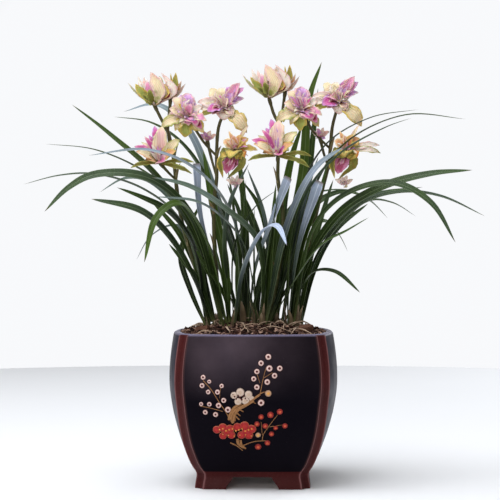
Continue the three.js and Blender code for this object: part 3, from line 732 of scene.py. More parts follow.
def unsteady(tree, scale):
    """A vector that wanders either side of zero with place."""
    noise = put(tree, "ShaderNodeTexNoise", {"Scale": scale, "Detail": 1.0}).outputs["Color"]
    return vector_maths(tree, "SUBTRACT", noise, (0.5, 0.5, 0.5))


def random_value(tree, kind, low, high, seed):
    """A random number or vector for each point, from its place in the order and the seed."""
    first = 0 if kind == "FLOAT_VECTOR" else 2
    wires = {first: low, first + 1: high, "Seed": seed}
    return put(tree, "FunctionNodeRandomValue", wires, data_type=kind).outputs[first // 2]


chip_tree, given = tree_with("bark_chips", {"Per square metre": 56000.0, "Chip seed": 4})
upright = parts(chip_tree, put(chip_tree, "GeometryNodeInputNormal").outputs[0])[2]
on_top = put(chip_tree, "FunctionNodeCompare", {0: upright, 1: 0.6}, data_type="FLOAT").outputs[0]
spots = put(chip_tree, "GeometryNodeDistributePointsOnFaces",
            {"Mesh": given.outputs["Route"], "Selection": on_top,
             "Density": given.outputs["Per square metre"], "Seed": given.outputs["Chip seed"]}).outputs[0]
block = put(chip_tree, "GeometryNodeMeshCube", {"Size": (1, 1, 1)}).outputs[0]
block = put(chip_tree, "GeometryNodeSubdivideMesh", {"Mesh": block, "Level": 1}).outputs[0]
knock = vector_maths(chip_tree, "MULTIPLY", unsteady(chip_tree, 1.7), (1.5, 1.9, 1.2))
block = put(chip_tree, "GeometryNodeSetPosition", {"Geometry": block, "Offset": knock}).outputs[0]
chips = put(chip_tree, "GeometryNodeInstanceOnPoints",
            {"Points": spots, "Instance": block,
             "Rotation": random_value(chip_tree, "FLOAT_VECTOR", CHIP_TURN_LOW, CHIP_TURN_HIGH, 1),
             "Scale": random_value(chip_tree, "FLOAT_VECTOR", SMALLEST_CHIP, LARGEST_CHIP, 2)}).outputs[0]
chips = stored(chip_tree, chips, "tone", random_value(chip_tree, "FLOAT", 0.0, 1.0, 3), "INSTANCE")
close_tree(chip_tree, given, chips)
scattered = piece_from("bark_chips", *skin(heap_top))
dress(scattered, chip_tree, chip_bark)

draw = random.Random(11)
strip_lines = []
for _ in range(STRIP_COUNT):
    at_x, at_y = draw.uniform(-0.06, 0.06), draw.uniform(-0.062, 0.055)
    heading = draw.uniform(0, 2 * math.pi)
    length = draw.uniform(0.010, 0.034)
    bow = draw.uniform(-0.4, 0.4)
    arch = draw.uniform(0.001, 0.005)
    route = []
    for step in range(STRIP_STEPS + 1):
        share = step / STRIP_STEPS
        angle = heading + bow * share
        x = at_x + math.cos(angle) * length * (share - 0.5)
        y = at_y + math.sin(angle) * length * (share - 0.5)
        x, y = (min(max(v, -0.068), 0.068) for v in (x, y))
        route.append((x, y, heap_height(x, y) + 0.0018 + arch * math.sin(math.pi * share)))
    thick = draw.uniform(0.0004, 0.0011)
    strip_lines.append((route, [thick * (1 - 0.6 * abs(i / 4 - 1)) for i in range(STRIP_STEPS + 1)]))
dry_fibre, tree, shader = new_finish("dry_root_fibre", 0.8)
coat = mixed(tree, grain(tree, 130, 3), (0.26, 0.14, 0.08), (0.78, 0.64, 0.48))
dirt = ranged(tree, grain(tree, 900, 3), 0.4, 0.7, 0.6, 0.0)
coat = mixed(tree, dirt, coat, (0.45, 0.35, 0.28), "MULTIPLY")
covered(tree, shader, coat, grain(tree, 1400, 2), 0.0003, 0.5)
strips = stalks("dry_strips", strip_lines, dry_fibre, sides=6)
made_plain([scattered, strips])
shade(scattered, False)
big_chip_bark, tree, shader = new_finish("big_chip_bark", 0.85, Specular_IOR_Level=0.15)
layers = grain(tree, 260, 5, stretch=(1, 1, 3), distortion=0.6)
coat = mixed(tree, layers, (0.022, 0.010, 0.008), (0.24, 0.11, 0.065))
covered(tree, shader, coat, layers, 0.0012, 0.9)
refinish("bark_chip_left", big_chip_bark)
refinish("bark_chip_right", big_chip_bark)
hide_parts("bark_mix")
for piece, slot in ((heap, "bark_mix"), (scattered, "bark"), (strips, "bark")):
    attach(piece, "root")

# ---- Leaves ----
# Long arching strap leaves in seven growths, each leaf keeled along its midrib and narrowing to a
# thin tip. Waxy dark green, paler at the foot and along the midrib, with fine lengthwise veins.
# Painted shade darkens each leaf's lower part, and a painted sky sheen and highlight lines lie on
# the waxy bloom.
GROWTHS_MM = [(-41, -4), (-25, -22), (-9, 6), (8, -18), (24, 10), (41, -8), (6, 36)]
BULB_LEVEL = 149
BARK_LEVEL = 162
BULB_RADIUS = 9
BULB_HALF_HEIGHT = 12
LEAF_CLEARANCE = 1.2
# Name, growth, foot beside the growth's middle, width, roll in degrees, depth of green from 0 to 1,
# waxy bloom with its painted sky sheen from 0 to 1, then the points that the midrib passes on the way
# to its tip.
LEAVES_MM = [
    ("left_high", 2, (-7, 0), 11, 45, 0.5, 0.15,
     (-54, -25, 239), (-95, -35, 306), (-143, -45, 350), (-179, -50, 379)),
    ("left_top_thin", 3, (-5, 3), 7, 10, 0.2, 0.1,
     (-59, 20, 261), (-104, 35, 309), (-166, 50, 340), (-224, 60, 348)),
    ("left_far", 1, (-4, 3), 8, 10, 0.2, 0.35,
     (-73, -17, 263), (-109, -20, 295), (-158, -22, 311), (-194, -24, 310), (-231, -26, 301)),
    ("left_broad", 2, (-5, -6), 11, 50, 0.35, 0.3,
     (-63, -40, 270), (-102, -58, 305), (-153, -72, 308), (-178, -78, 295), (-201, -80, 272)),
    ("left_blue", 1, (-1, 5), 8, 30, 0.3, 0.6,
     (-65, 5, 258), (-107, 15, 305), (-133, 20, 309), (-160, 22, 295)),
    ("left_dark", 1, (-8, -1), 11, 50, 0.1, 0.1,
     (-61, -26, 239), (-84, -48, 273), (-106, -60, 285), (-132, -68, 296)),
    ("left_low_broad", 1, (-3, -9), 11, 50, 0.2, 0.3,
     (-59, -31, 205), (-84, -57, 250), (-109, -75, 273), (-154, -92, 284)),
    ("left_back_high", 7, (-3, -6), 8, 15, 0.1, 0.1,
     (-33, 44, 272), (-73, 60, 343), (-111, 75, 371), (-153, 85, 379)),
    ("left_back_pale", 7, (-6, 0), 8.5, 40, 0.5, 1.0,
     (-44, 70, 299), (-74, 90, 367), (-108, 107, 394), (-146, 123, 388)),
    ("left_silver", 4, (-6, -3), 7.5, 40, 0.3, 1.0,
     (-23, -33, 273), (-56, -53, 314), (-101, -70, 332), (-157, -88, 326)),
    ("left_light", 4, (1, -3), 11, 50, 0.4, 0.55,
     (4, -44, 243), (-26, -54, 274), (-62, -62, 297), (-98, -68, 306)),
    ("left_front_long", 4, (-3, -7), 7, 35, 0.15, 0.6,
     (-8, -40, 237), (-28, -66, 265), (-52, -82, 281), (-93, -98, 286)),
    ("left_drooping", 2, (0, -9), 9, 45, 0.75, 0.1,
     (-47, -45, 245), (-71, -80, 280), (-91, -100, 265), (-101, -112, 223)),
    ("left_low_back", 1, (2, 8), 7, 20, 0.1, 0.75,
     (-60, 20, 230), (-82, 38, 260), (-109, 52, 250), (-126, 60, 224)),
    ("left_bow", 1, (-8, 3), 6, 15, 0.1, 0.0,
     (-65, 8, 194), (-75, 13, 227), (-70, 15, 251), (-54, 17, 285)),
    ("centre_blue_tip", 1, (6, -3), 11, 35, 0.3, 1.3, (-41, -13, 213), (-55, -20, 275), (-58, -24, 322)),
    ("centre_left_a", 2, (1, 2), 10, 60, 0.8, 0.05, (-29, 5, 225), (-42, 10, 286), (-52, 15, 338)),
    ("centre_left_b", 3, (-1, -4), 9, 60, 0.65, 0.05, (-16, -8, 235), (-22, -12, 286), (-26, -14, 318)),
    ("centre_small_arch", 2, (7, -3), 9, 30, 0.3, 1.4,
     (-8, -52, 215), (12, -80, 254), (25, -103, 257), (34, -122, 239)),
    ("centre_blunt", 3, (5, -2), 14, 35, 0.4, 1.2, (3, -10, 217), (24, -22, 274), (37, -30, 307)),
    ("right_blue_tip", 6, (-5, -4), 13, 40, 0.2, 1.2, (47, -25, 240), (67, -40, 303)),
    ("tallest", 5, (-1, 2), 10, 65, 0.75, 0.05, (37, 5, 245), (51, 12, 317), (57, 16, 390), (70, 18, 429)),
    ("centre_broad", 4, (2, 4), 10, 65, 0.9, 0.05, (25, 25, 256), (38, 35, 329), (50, 38, 366)),
    ("back_tip", 6, (-2, 6), 8, 40, 0.4, 0.1, (54, 45, 288), (62, 52, 362), (67, 55, 406)),
    ("back_middle", 3, (1, 6), 9, 60, 0.35, 0.1, (-7, 18, 235), (-11, 25, 297), (-18, 30, 349)),
    ("right_high", 5, (-4, -4), 7, 10, 0.2, 0.2,
     (43, -15, 280), (72, -25, 339), (116, -35, 366), (164, -42, 374)),
    ("right_top_thin", 5, (6, 0), 7, 10, 0.2, 0.15,
     (55, -20, 280), (90, -62, 338), (148, -66, 366), (208, -68, 362)),
    ("right_high_front", 5, (6, -4), 7, 15, 0.3, 0.35,
     (49, -32, 280), (84, -70, 327), (129, -80, 353), (154, -84, 362)),
    ("right_blue_broad", 4, (5, -6), 13, 60, 0.1, 0.9, (36, -35, 260), (63, -58, 315), (89, -72, 335)),
    ("right_big_dark", 6, (3, -4), 12, 50, 0.35, 0.25,
     (52, -23, 215), (86, -40, 270), (127, -52, 296), (174, -58, 309), (215, -60, 313)),
    ("right_far", 6, (5, 4), 9, 20, 0.25, 0.35,
     (66, 2, 230), (108, -3, 280), (148, -10, 293), (188, -14, 289), (233, -16, 269)),
    ("right_drooping", 6, (0, -8), 10, 50, 0.35, 0.3,
     (62, -46, 258), (94, -62, 290), (138, -75, 299), (172, -84, 280), (195, -90, 242)),
    ("right_back_low", 7, (6, -3), 8, 20, 0.2, 0.3, (80, 34, 256), (123, 50, 291), (179, 70, 302)),
    ("right_back_hook", 5, (7, 4), 7, 20, 0.2, 0.2,
     (74, 20, 240), (117, 28, 285), (144, 35, 284), (169, 40, 270)),
    ("right_back_arch", 7, (6, 0), 9, 35, 0.25, 0.2,
     (54, 55, 272), (93, 78, 297), (122, 90, 289), (144, 98, 269)),
    ("right_straight", 4, (8, -2), 7, 30, 0.4, 0.2, (65, -55, 237), (93, -80, 254), (112, -95, 266)),
    ("right_back_droop", 7, (7, 5), 9, 35, 0.3, 0.1,
     (50, 70, 256), (79, 98, 265), (92, 108, 250), (101, 112, 233)),
    ("right_low", 6, (9, 0), 7, 25, 0.3, 0.2,
     (51, -9, 195), (60, -20, 212), (82, -38, 213), (106, -52, 193)),
    ("right_behind", 3, (5, 4), 7, 15, 0.3, 0.3,
     (22, 40, 251), (49, 50, 289), (80, 56, 298), (104, 60, 299)),
]
# More leaves of the same growths, that stay among the others.
MORE_LEAVES_MM = [
    ("more_a", 3, (-4, 5), 7, 40, 0.5, 0.55, (-28, -5, 225), (-23, -15, 282), (-4, -25, 322)),
    ("more_b", 4, (-3, 4), 6, 60, 0.15, 0.6, (16, 10, 215), (11, 20, 272), (-7, 25, 320)),
    ("more_c", 5, (-5, 3), 6, 60, 0.1, 0.1, (16, 20, 238), (5, 30, 281), (-13, 35, 308)),
    ("more_d", 5, (-3, -1), 9, 60, 0.05, 0.1, (13, 10, 210), (2, 20, 255), (-16, 25, 302)),
    ("more_e", 3, (3, 2), 6, 60, 0.1, 0.2, (-7, 15, 220), (-14, 25, 271), (-28, 30, 304)),
    ("more_f", 2, (5, 3), 5, 20, 0.05, 0.1, (-18, -20, 240), (2, -35, 277), (28, -48, 297)),
    ("more_g", 6, (-4, 5), 9, 60, 0.9, 0.05, (51, -15, 240), (65, -20, 281), (76, -25, 326)),
    ("more_h", 4, (7, 3), 6, 60, 0.1, 0.5, (40, 0, 230), (52, -5, 285), (66, -8, 330)),
    ("more_i", 1, (-5, 5), 7, 50, 0.2, 0.1, (-55, 8, 205), (-76, 14, 250), (-107, 20, 287)),
    ("more_j", 5, (5, 5), 6, 40, 0.3, 0.1, (40, 25, 220), (52, 38, 270), (58, 45, 325)),
    ("more_k", 6, (7, 5), 7, 50, 0.15, 0.2, (62, 12, 215), (84, 18, 255), (118, 22, 283)),
    ("more_l", 2, (-8, 4), 8, 50, 0.7, 0.05, (-38, -24, 205), (-50, -30, 250), (-72, -36, 290)),
]
# Leaves whose tips were trimmed off short.
TRIMMED = ("centre_blue_tip", "centre_blunt", "right_blue_tip")
WELD_DISTANCE = 0.000008


def blade_tree(name, outline, sides, **sizes):
    """A tree that sweeps a folded, keeled section along each route, as wide as its outline says."""
    tree, given = tree_with(name, {"Ruffle": 0.0, **sizes})
    line = put(tree, "GeometryNodeMeshToCurve", {"Mesh": given.outputs["Route"]}).outputs[0]
    line = put(tree, "GeometryNodeSetCurveNormal",
               {"Curve": line, "Normal": noted(tree, "across", "FLOAT_VECTOR")}, mode="FREE").outputs[0]
    far = put(tree, "GeometryNodeSplineParameter").outputs["Factor"]
    line = stored(tree, line, "along", far)
    shape = put(tree, "ShaderNodeFloatCurve", {"Value": far})
    curve = shape.mapping.curves[0]
    curve.points[0].location = outline[0]
    curve.points[1].location = outline[-1]
    for spot in outline[1:-1]:
        curve.points.new(*spot)
    shape.mapping.update()
    width = times(tree, shape.outputs[0], noted(tree, "width"))
    line = stored(tree, line, "width_here", width)
    ring = put(tree, "GeometryNodeCurvePrimitiveCircle", {"Resolution": sides, "Radius": 0.5}).outputs[0]
    corner = parts(tree, put(tree, "GeometryNodeInputPosition").outputs[0])
    ring = stored(tree, ring, "sideways", corner[0])
    lift = times(tree, maths(tree, "ABSOLUTE", corner[0]), given.outputs["Fold"])
    thin = times(tree, corner[1], given.outputs["Thinness"])
    section = put(tree, "ShaderNodeCombineXYZ", {0: corner[0], 1: maths(tree, "ADD", lift, thin)})
    ring = put(tree, "GeometryNodeSetPosition",
               {"Geometry": ring, "Position": section.outputs[0]}).outputs[0]
    swept = put(tree, "GeometryNodeCurveToMesh",
                {"Curve": line, "Profile Curve": ring, "Scale": noted(tree, "width_here"),
                 "Fill Caps": True}).outputs[0]
    swept = put(tree, "GeometryNodeMergeByDistance",
                {"Geometry": swept, "Distance": WELD_DISTANCE}).outputs[0]
    off_middle = maths(tree, "ABSOLUTE", noted(tree, "sideways"))
    reach = times(tree, times(tree, off_middle, noted(tree, "width_here")),
                  given.outputs["Ruffle"])
    wave = put(tree, "ShaderNodeVectorMath", {0: unsteady(tree, 240.0), "Scale": reach}, operation="SCALE")
    swept = put(tree, "GeometryNodeSetPosition", {"Geometry": swept, "Offset": wave.outputs[0]}).outputs[0]
    close_tree(tree, given, swept)
    return tree


def across_route(route, upper):
    """The sideways direction at each point of a route, for an upper face turned towards upper."""
    along = np.gradient(np.array(route), axis=0)
    along /= np.linalg.norm(along, axis=1)[:, None]
    upper = np.broadcast_to(np.array(upper, float), along.shape)
    sideways = np.cross(upper, along)
    return sideways / np.linalg.norm(sideways, axis=1)[:, None]


def blades(name, tree, finish, lines, **sizes):
    """Blades in one piece. Each line is (route, across at each point, {name: number or colour})."""
    points, edges, across, notes = [], [], [], {}
    for route, sideways, facts in lines:
        edges.extend((len(points) + i, len(points) + i + 1) for i in range(len(route) - 1))
        points.extend(route)
        across.extend(sideways)
        for fact, value in facts.items():
            notes.setdefault(fact, []).extend([value] * len(route))
    piece = piece_from(name, points, edges=edges)
    note_points(piece.data, "across", "FLOAT_VECTOR", across)
    for fact, values in notes.items():
        note_points(piece.data, fact, "FLOAT_COLOR" if isinstance(values[0], tuple) else "FLOAT", values)
    dress(piece, tree, finish, **sizes)
    return piece


leaf_tree = blade_tree(
    "strap_leaf",
    [(0, 0.40), (0.25, 0.83), (0.5, 1.0), (0.75, 0.84), (0.91, 0.48), (0.98, 0.17), (1, 0.0)], 14,
    Fold=0.34, Thinness=0.13)
cut_leaf_tree = blade_tree(
    "trimmed_leaf", [(0, 0.40), (0.3, 0.66), (0.6, 0.72), (0.85, 0.92), (0.97, 1.0), (1, 0.85)], 14,
    Fold=0.34, Thinness=0.13)

leaf_skin, tree, shader = new_finish("waxy_leaf", 0.4, Specular_IOR_Level=0.10)
along, sideways = read(tree, "along"), read(tree, "sideways")
off_middle = maths(tree, "ABSOLUTE", sideways)
ripple = maths(tree, "ADD", times(tree, sideways, 85), times(tree, grain(tree, 30), 5))
veins = ranged(tree, maths(tree, "SINE", ripple), -1, 1)
patches = ranged(tree, grain(tree, 25, 4), 0.3, 0.7, -0.25, 0.25)
depth = maths(tree, "ADD", read(tree, "depth_of_green"), patches)
green = mixed(tree, ranged(tree, depth, 0, 1), (0.0040, 0.0085, 0.0022), (0.060, 0.106, 0.012))
green = mixed(tree, times(tree, veins, 0.24), green, (0.060, 0.105, 0.032))
# Painted shade: each leaf is darkened over its lower part towards its foot, as if shaded by the leaves
# around it.
green = mixed(tree, ranged(tree, along, 0.05, 0.65, 0.68, 0.0), green, (0.0035, 0.0075, 0.003))
green = mixed(tree, ranged(tree, along, 0.62, 1.0, 0.0, 0.32), green, (0.078, 0.145, 0.026))
green = mixed(tree, ranged(tree, along, 0.0, 0.13, 0.8, 0.0), green, (0.12, 0.14, 0.042))
# Painted sheen: the waxy bloom is partly the leaf's own blue-grey and partly a blue-white sky reflection
# painted into the colour.
bloom = times(tree, read(tree, "bloom"), ranged(tree, along, 0.25, 0.75, 0.2, 1.0))
bloom = times(tree, bloom, ranged(tree, grain(tree, 18, 3), 0.25, 0.75, 0.55, 1.0))
bloom = times(tree, bloom, bloom)
green = mixed(tree, times(tree, bloom, 0.72), green, (0.48, 0.56, 0.74))
# The pale lines along the midrib and the rims are partly the leaf's own colour and, on blooming leaves, a
# painted white-blue highlight.
pale_line_and_highlight = mixed(tree, bloom, (0.13, 0.18, 0.075), (0.80, 0.86, 0.96))
midrib = ranged(tree, off_middle, 0.015, 0.05, 0.6, 0.0)
green = mixed(tree, midrib, green, pale_line_and_highlight)
rim = ranged(tree, off_middle, 0.42, 0.48, 0.0, 0.62)
green = mixed(tree, rim, green, pale_line_and_highlight)
brown_tip = ranged(tree, along, 0.975, 1.0, 0.0, 0.8)
green = mixed(tree, brown_tip, green, (0.18, 0.11, 0.05))
covered(tree, shader, green, veins, 0.00012, 0.5,
        roughness=ranged(tree, grain(tree, 60, 4), 0.3, 0.7, 0.28, 0.44))


def leaf_route(growth, offset, points):
    """A leaf's route in metres from its foot on the growth, clear of the bulb and of the bark."""
    x, y = GROWTHS_MM[growth - 1][0] + offset[0], GROWTHS_MM[growth - 1][1] + offset[1]
    out = min(max(math.hypot(*offset) - 2, 0) / BULB_RADIUS, 1)
    bulb_top = BULB_LEVEL + BULB_HALF_HEIGHT * math.sqrt(1 - out * out)
    foot = max(bulb_top, heap_height(x * MM, y * MM) / MM - 2) + LEAF_CLEARANCE
    return smooth_route([(x, y, foot), *points], 14 + 8 * len(points)) * MM


def leaf_across(route, roll, twist):
    """Sideways directions of a leaf whose upper face leans from level towards the front."""
    reach = route[-1] - route[0]
    level = np.array([reach[1], -reach[0], 0]) / math.hypot(reach[0], reach[1])
    along = np.gradient(route, axis=0)
    along /= np.linalg.norm(along, axis=1)[:, None]
    flat = level - along * (along @ level)[:, None]
    flat /= np.linalg.norm(flat, axis=1)[:, None]
    sign = -1 if reach[0] < 0 else 1
    turn = sign * (math.radians(roll) + np.linspace(0, math.radians(twist), len(route)))[:, None]
    return -(flat * np.cos(turn) + np.cross(along, flat) * np.sin(turn))


def leaf(name, growth, offset, width, roll, depth, bloom, *points):
    route = leaf_route(growth, offset, points)
    facts = {"width": width * MM, "depth_of_green": depth, "bloom": bloom}
    twist = draw.uniform(-14, 14) + (45 if name in TRIMMED else 0)
    line = (route, leaf_across(route, roll, twist), facts)
    return blades("blade_" + name, cut_leaf_tree if name in TRIMMED else leaf_tree, leaf_skin, [line])


grown_leaves = [leaf(*facts) for facts in LEAVES_MM]
inner_leaves = [leaf(*facts) for facts in MORE_LEAVES_MM]
for growth, (at_x, at_y) in enumerate(GROWTHS_MM, start=1):
    for letter in "abc":
        offset = (draw.uniform(-6, 6), draw.uniform(-6, 6))
        spread = at_x * draw.uniform(0.5, 1.5) + draw.uniform(-18, 18)
        depth_y = at_y * draw.uniform(0.6, 1.4) + draw.uniform(-14, 16)
        tall = draw.uniform(62, 150)
        points = [
            (at_x + offset[0] + spread * 0.25, at_y + offset[1] + depth_y * 0.2, BARK_LEVEL + tall * 0.5),
            (at_x + spread * 0.7, at_y + depth_y * 0.6, BARK_LEVEL + tall)]
        name = f"inner_{growth}_{letter}"
        inner_leaves.append(leaf(name, growth, offset, draw.uniform(5, 8.5), draw.uniform(30, 80),
                                 draw.uniform(0.1, 0.7), draw.uniform(0, 0.35), *points))
made_plain(grown_leaves + inner_leaves)
for piece in grown_leaves:
    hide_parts(piece.name.replace("blade_", "leaf_"))
for piece in grown_leaves + inner_leaves:
    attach(piece, "root")

# ---- Dry sheaths ----
# Papery brown bracts, the remains of older leaf feet, that clasp each growth where it leaves the
# bark. Short broad blades with torn tips and dark lengthwise fibres.
sheath_tree = blade_tree(
    "dry_sheath", [(0, 0.85), (0.3, 1.0), (0.6, 0.75), (0.85, 0.4), (1, 0.05)], 12,
    Fold=0.55, Thinness=0.1)
papery, tree, shader = new_finish("papery_sheath", 0.75)
fibres = ranged(tree, maths(tree, "SINE", times(tree, read(tree, "sideways"), 70)), -1, 1)
coat = mixed(tree, grain(tree, 110, 4), (0.045, 0.030, 0.014), (0.27, 0.20, 0.10))
coat = mixed(tree, times(tree, fibres, 0.5), coat, (0.10, 0.05, 0.028))
coat = mixed(tree, ranged(tree, read(tree, "along"), 0.55, 1.0, 0.0, 0.7), coat, (0.55, 0.42, 0.27))
covered(tree, shader, coat, fibres, 0.0004, 0.7)

SHEATHS_PER_GROWTH = 4
sheath_lines = []
for at_x, at_y in GROWTHS_MM:
    for _ in range(SHEATHS_PER_GROWTH):
        around = draw.uniform(0, 2 * math.pi)
        out_x, out_y = math.cos(around), math.sin(around)
        reach = draw.uniform(6, 10)
        tall = draw.uniform(10, 27)
        lean = draw.uniform(0.0, 0.22) * tall
        x, y = at_x + out_x * reach, at_y + out_y * reach
        foot = heap_height(x * MM, y * MM) / MM - 1.5
        bend = (x + out_x * lean * 0.2, y + out_y * lean * 0.2, foot + tall * 0.55)
        top = (x + out_x * lean, y + out_y * lean, foot + tall)
        route = smooth_route([(x, y, foot), bend, top], 12) * MM
        sheath_lines.append((route, across_route(route, (-out_x, -out_y, 0.1)),
                             {"width": draw.uniform(4, 7.5) * MM}))
sheaths = blades("dry_sheaths", sheath_tree, papery, sheath_lines)
made_plain([sheaths])
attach(sheaths, "root")

# ---- Flower stems ----
# Four dark olive scapes with the side stalks of their other flowers, each grown as one, with small
# clasping bracts at the joints.
STEM_RADIUS = 2.1
STALK_RADIUS = 1.35
STEM_STEPS = 44
STALK_STEPS = 14
OVARY_STEPS = 12
SCAPES_MM = [
    ("left_inner", [
        [(-33, 9, 158), (-39, 2, 225), (-40, -10, 281), (-37, -14, 307), (-37, -15, 332), (-35, -15, 359),
         (-30, -16, 373)],
        [(-37, -15, 330), (-50, -18, 344), (-63, -22, 365)],
        [(-37, -14, 318), (-30, -20, 325), (-18, -35, 335)],
        [(-38, -13, 312), (-43, -12, 330), (-46, -13, 343)],
    ]),
    ("left_outer", [
        [(-46, 14, 156), (-58, 8, 210), (-72, -3, 260), (-77, -18, 296), (-80, -22, 326), (-86, -14, 354),
         (-93, -11, 367), (-99, -10, 379)],
        [(-78, -20, 306), (-83, -32, 311), (-90, -42, 319)],
        [(-80, -22, 326), (-86, -16, 352), (-84, -12, 386)],
    ]),
    ("right_inner", [
        [(15, -4, 161), (27, -12, 225), (30, -16, 270), (25, -20, 306), (26, -18, 337), (28, -12, 358),
         (21, -10, 372), (17, -10, 385)],
        [(25, -20, 304), (25, -30, 312), (25, -42, 325)],
        [(26, -18, 337), (27, -15, 356), (31, -12, 386), (32, -11, 393)],
    ]),
    ("right_outer", [
        [(48, 10, 155), (55, 9, 225), (66, -5, 281), (76, -13, 321), (78, -13, 341), (80, -14, 360),
         (85, -17, 379)],
        [(78, -13, 337), (60, -17, 355), (51, -22, 371)],
        [(76, -13, 322), (82, -20, 327), (92, -35, 335)],
        [(76, -12, 318), (71, -10, 334), (68, -12, 346)],
    ]),
]
stem_skin, tree, shader = new_finish("olive_stem", 0.42, Specular_IOR_Level=0.2)
height = parts(tree, own_place(tree))[2]
coat = mixed(tree, ranged(tree, height, 0.20, 0.36), (0.026, 0.045, 0.008), (0.028, 0.020, 0.008))
coat = mixed(tree, grain(tree, 140, 4, stretch=(1, 1, 0.2)), coat, (0.11, 0.10, 0.032))
coat = mixed(tree, ranged(tree, grain(tree, 420, 3), 0.56, 0.7, 0.0, 0.6), coat, (0.06, 0.02, 0.012))
covered(tree, shader, coat, grain(tree, 300, 3, stretch=(1, 1, 0.15)), 0.0003, 0.5)

bract_skin, tree, shader = new_finish("clasping_bract", 0.5)
coat = mixed(tree, read(tree, "along"), (0.13, 0.15, 0.04), (0.30, 0.24, 0.10))
coat = mixed(tree, grain(tree, 160, 3), coat, (0.12, 0.06, 0.025))
covered(tree, shader, coat, grain(tree, 500, 3, stretch=(1, 1, 0.2)), 0.0002, 0.4)

scapes = []
bract_lines = []
for name, (stem, *side_stalks) in SCAPES_MM:
    stem_route = smooth_route(stem, STEM_STEPS) * MM
    taper = [STEM_RADIUS * MM * (1.15 - 0.4 * i / STEM_STEPS) for i in range(STEM_STEPS)]
    lines = [(stem_route, [r * (1.12 if i % 11 == 5 else 1) for i, r in enumerate(taper)])]
    for stalk in side_stalks:
        route = smooth_route(stalk, STALK_STEPS) * MM
        widths = [STALK_RADIUS * MM * (0.9 + 0.35 * (i / (STALK_STEPS - 1)) ** 2)
                  for i in range(STALK_STEPS)]
        lines.append((route, widths))
    joints = [stem_route[i] for i in (9, 16, 23)] + [route[0] for route, _ in lines[1:]]
    for route, _ in list(lines):
        way = (route[-1] - route[-2]) / np.linalg.norm(route[-1] - route[-2])
        ovary = [route[-1] + way * (-6.0 + 0.95 * i) * MM for i in range(OVARY_STEPS)]
        widths = [(1.0 + 1.1 * math.sin(math.pi * 0.8 * i / (OVARY_STEPS - 1))) * MM
                  for i in range(OVARY_STEPS)]
        lines.append((ovary, widths))
    scapes.append(stalks("stem_" + name, lines, stem_skin, sides=10))
    for joint in joints:
        side_x = draw.choice((-1, 1))
        tall = draw.uniform(9, 17) * MM
        route = np.array([joint + np.array([side_x * 0.0012, -0.0016, -0.002]),
                          joint + np.array([side_x * 0.0030, -0.0026, tall * 0.5]),
                          joint + np.array([side_x * 0.0050, -0.0030, tall])])
        route = smooth_route(route, 8)
        bract_lines.append((route, across_route(route, (-side_x, 0.4, 0.1)),
                            {"width": draw.uniform(3.5, 5.5) * MM}))
bracts = blades("stem_bracts", sheath_tree, bract_skin, bract_lines, Fold=0.8)
made_plain([*scapes, bracts])
for piece, (name, _) in zip(scapes, SCAPES_MM):
    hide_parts("scape_" + name)
for piece in [*scapes, bracts]:
    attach(piece, "root")

# ---- Flowers ----
# Ten open or half-open blooms and four young ones, each a crowd of thin pointed tepals about a
# short column, with speckled lips. Cream, yellow-green and pink, veined, and darker in the throat.
HUES = {
    "cream": (0.74, 0.63, 0.39), "blush": (0.70, 0.46, 0.42), "pink": (0.68, 0.27, 0.44),
    "lilac": (0.55, 0.30, 0.58), "magenta": (0.50, 0.075, 0.27), "crimson": (0.20, 0.006, 0.026),
    "peach": (0.62, 0.32, 0.14), "yellow": (0.58, 0.44, 0.09), "olive": (0.15, 0.16, 0.016),
    "lime": (0.34, 0.38, 0.08), "pale_green": (0.52, 0.56, 0.30), "white": (0.77, 0.68, 0.58),
    "orange": (0.52, 0.17, 0.025), "rose": (0.38, 0.06, 0.13),
}
# Each form: the tepal's tip as seen from the heart, its width, its foot, body and rim colours, and for
# some a point that it passes.
HALF_OPEN_MM = [
    (-27, -6, 25, 3, "lime", "pale_green", "white"), (-19, -9, 22, 9, "olive", "lime", "yellow"),
    (-18, 4, 33, 5, "pale_green", "white", "white"), (-12, 5, 32, 6, "cream", "blush", "white"),
    (-8, -2, 27, 8, "peach", "pink", "white"), (-4, -6, 35, 12, "lime", "cream", "blush", (7, -11, 13)),
    (4, -10, 28, 4.5, "crimson", "yellow", "peach", (14, -12, 11)),
    (6, 2, 36, 7, "crimson", "white", "blush", (19, -3, 14)),
    (12, -11, 20, 5, "crimson", "crimson", "cream", (15, -11, 9)),
    (-5, -10, 17, 8, "olive", "olive", "lime"), (9, -10, 13, 8, "olive", "lime", "cream"),
    (21, 1, 36, 9, "olive", "lime", "yellow", (18, 3, 17)),
    (27, 2, 27, 6, "crimson", "peach", "white", (21, 3, 14)),
    (31, 5, 24, 5, "peach", "blush", "white", (22, 4, 13)),
    (23, 3, 22, 5, "crimson", "blush", "cream", (18, 3, 12)),
    (16, 2, 35, 4, "olive", "yellow", "yellow", (16, 2, 16)), (4, 9, 32, 10, "olive", "cream", "lime"),
    (12, 9, 25, 9, "olive", "lime", "lime"), (-10, 9, 22, 9, "olive", "lime", "cream"),
    (-13, -9, 12, 9, "olive", "olive", "lime"),
]
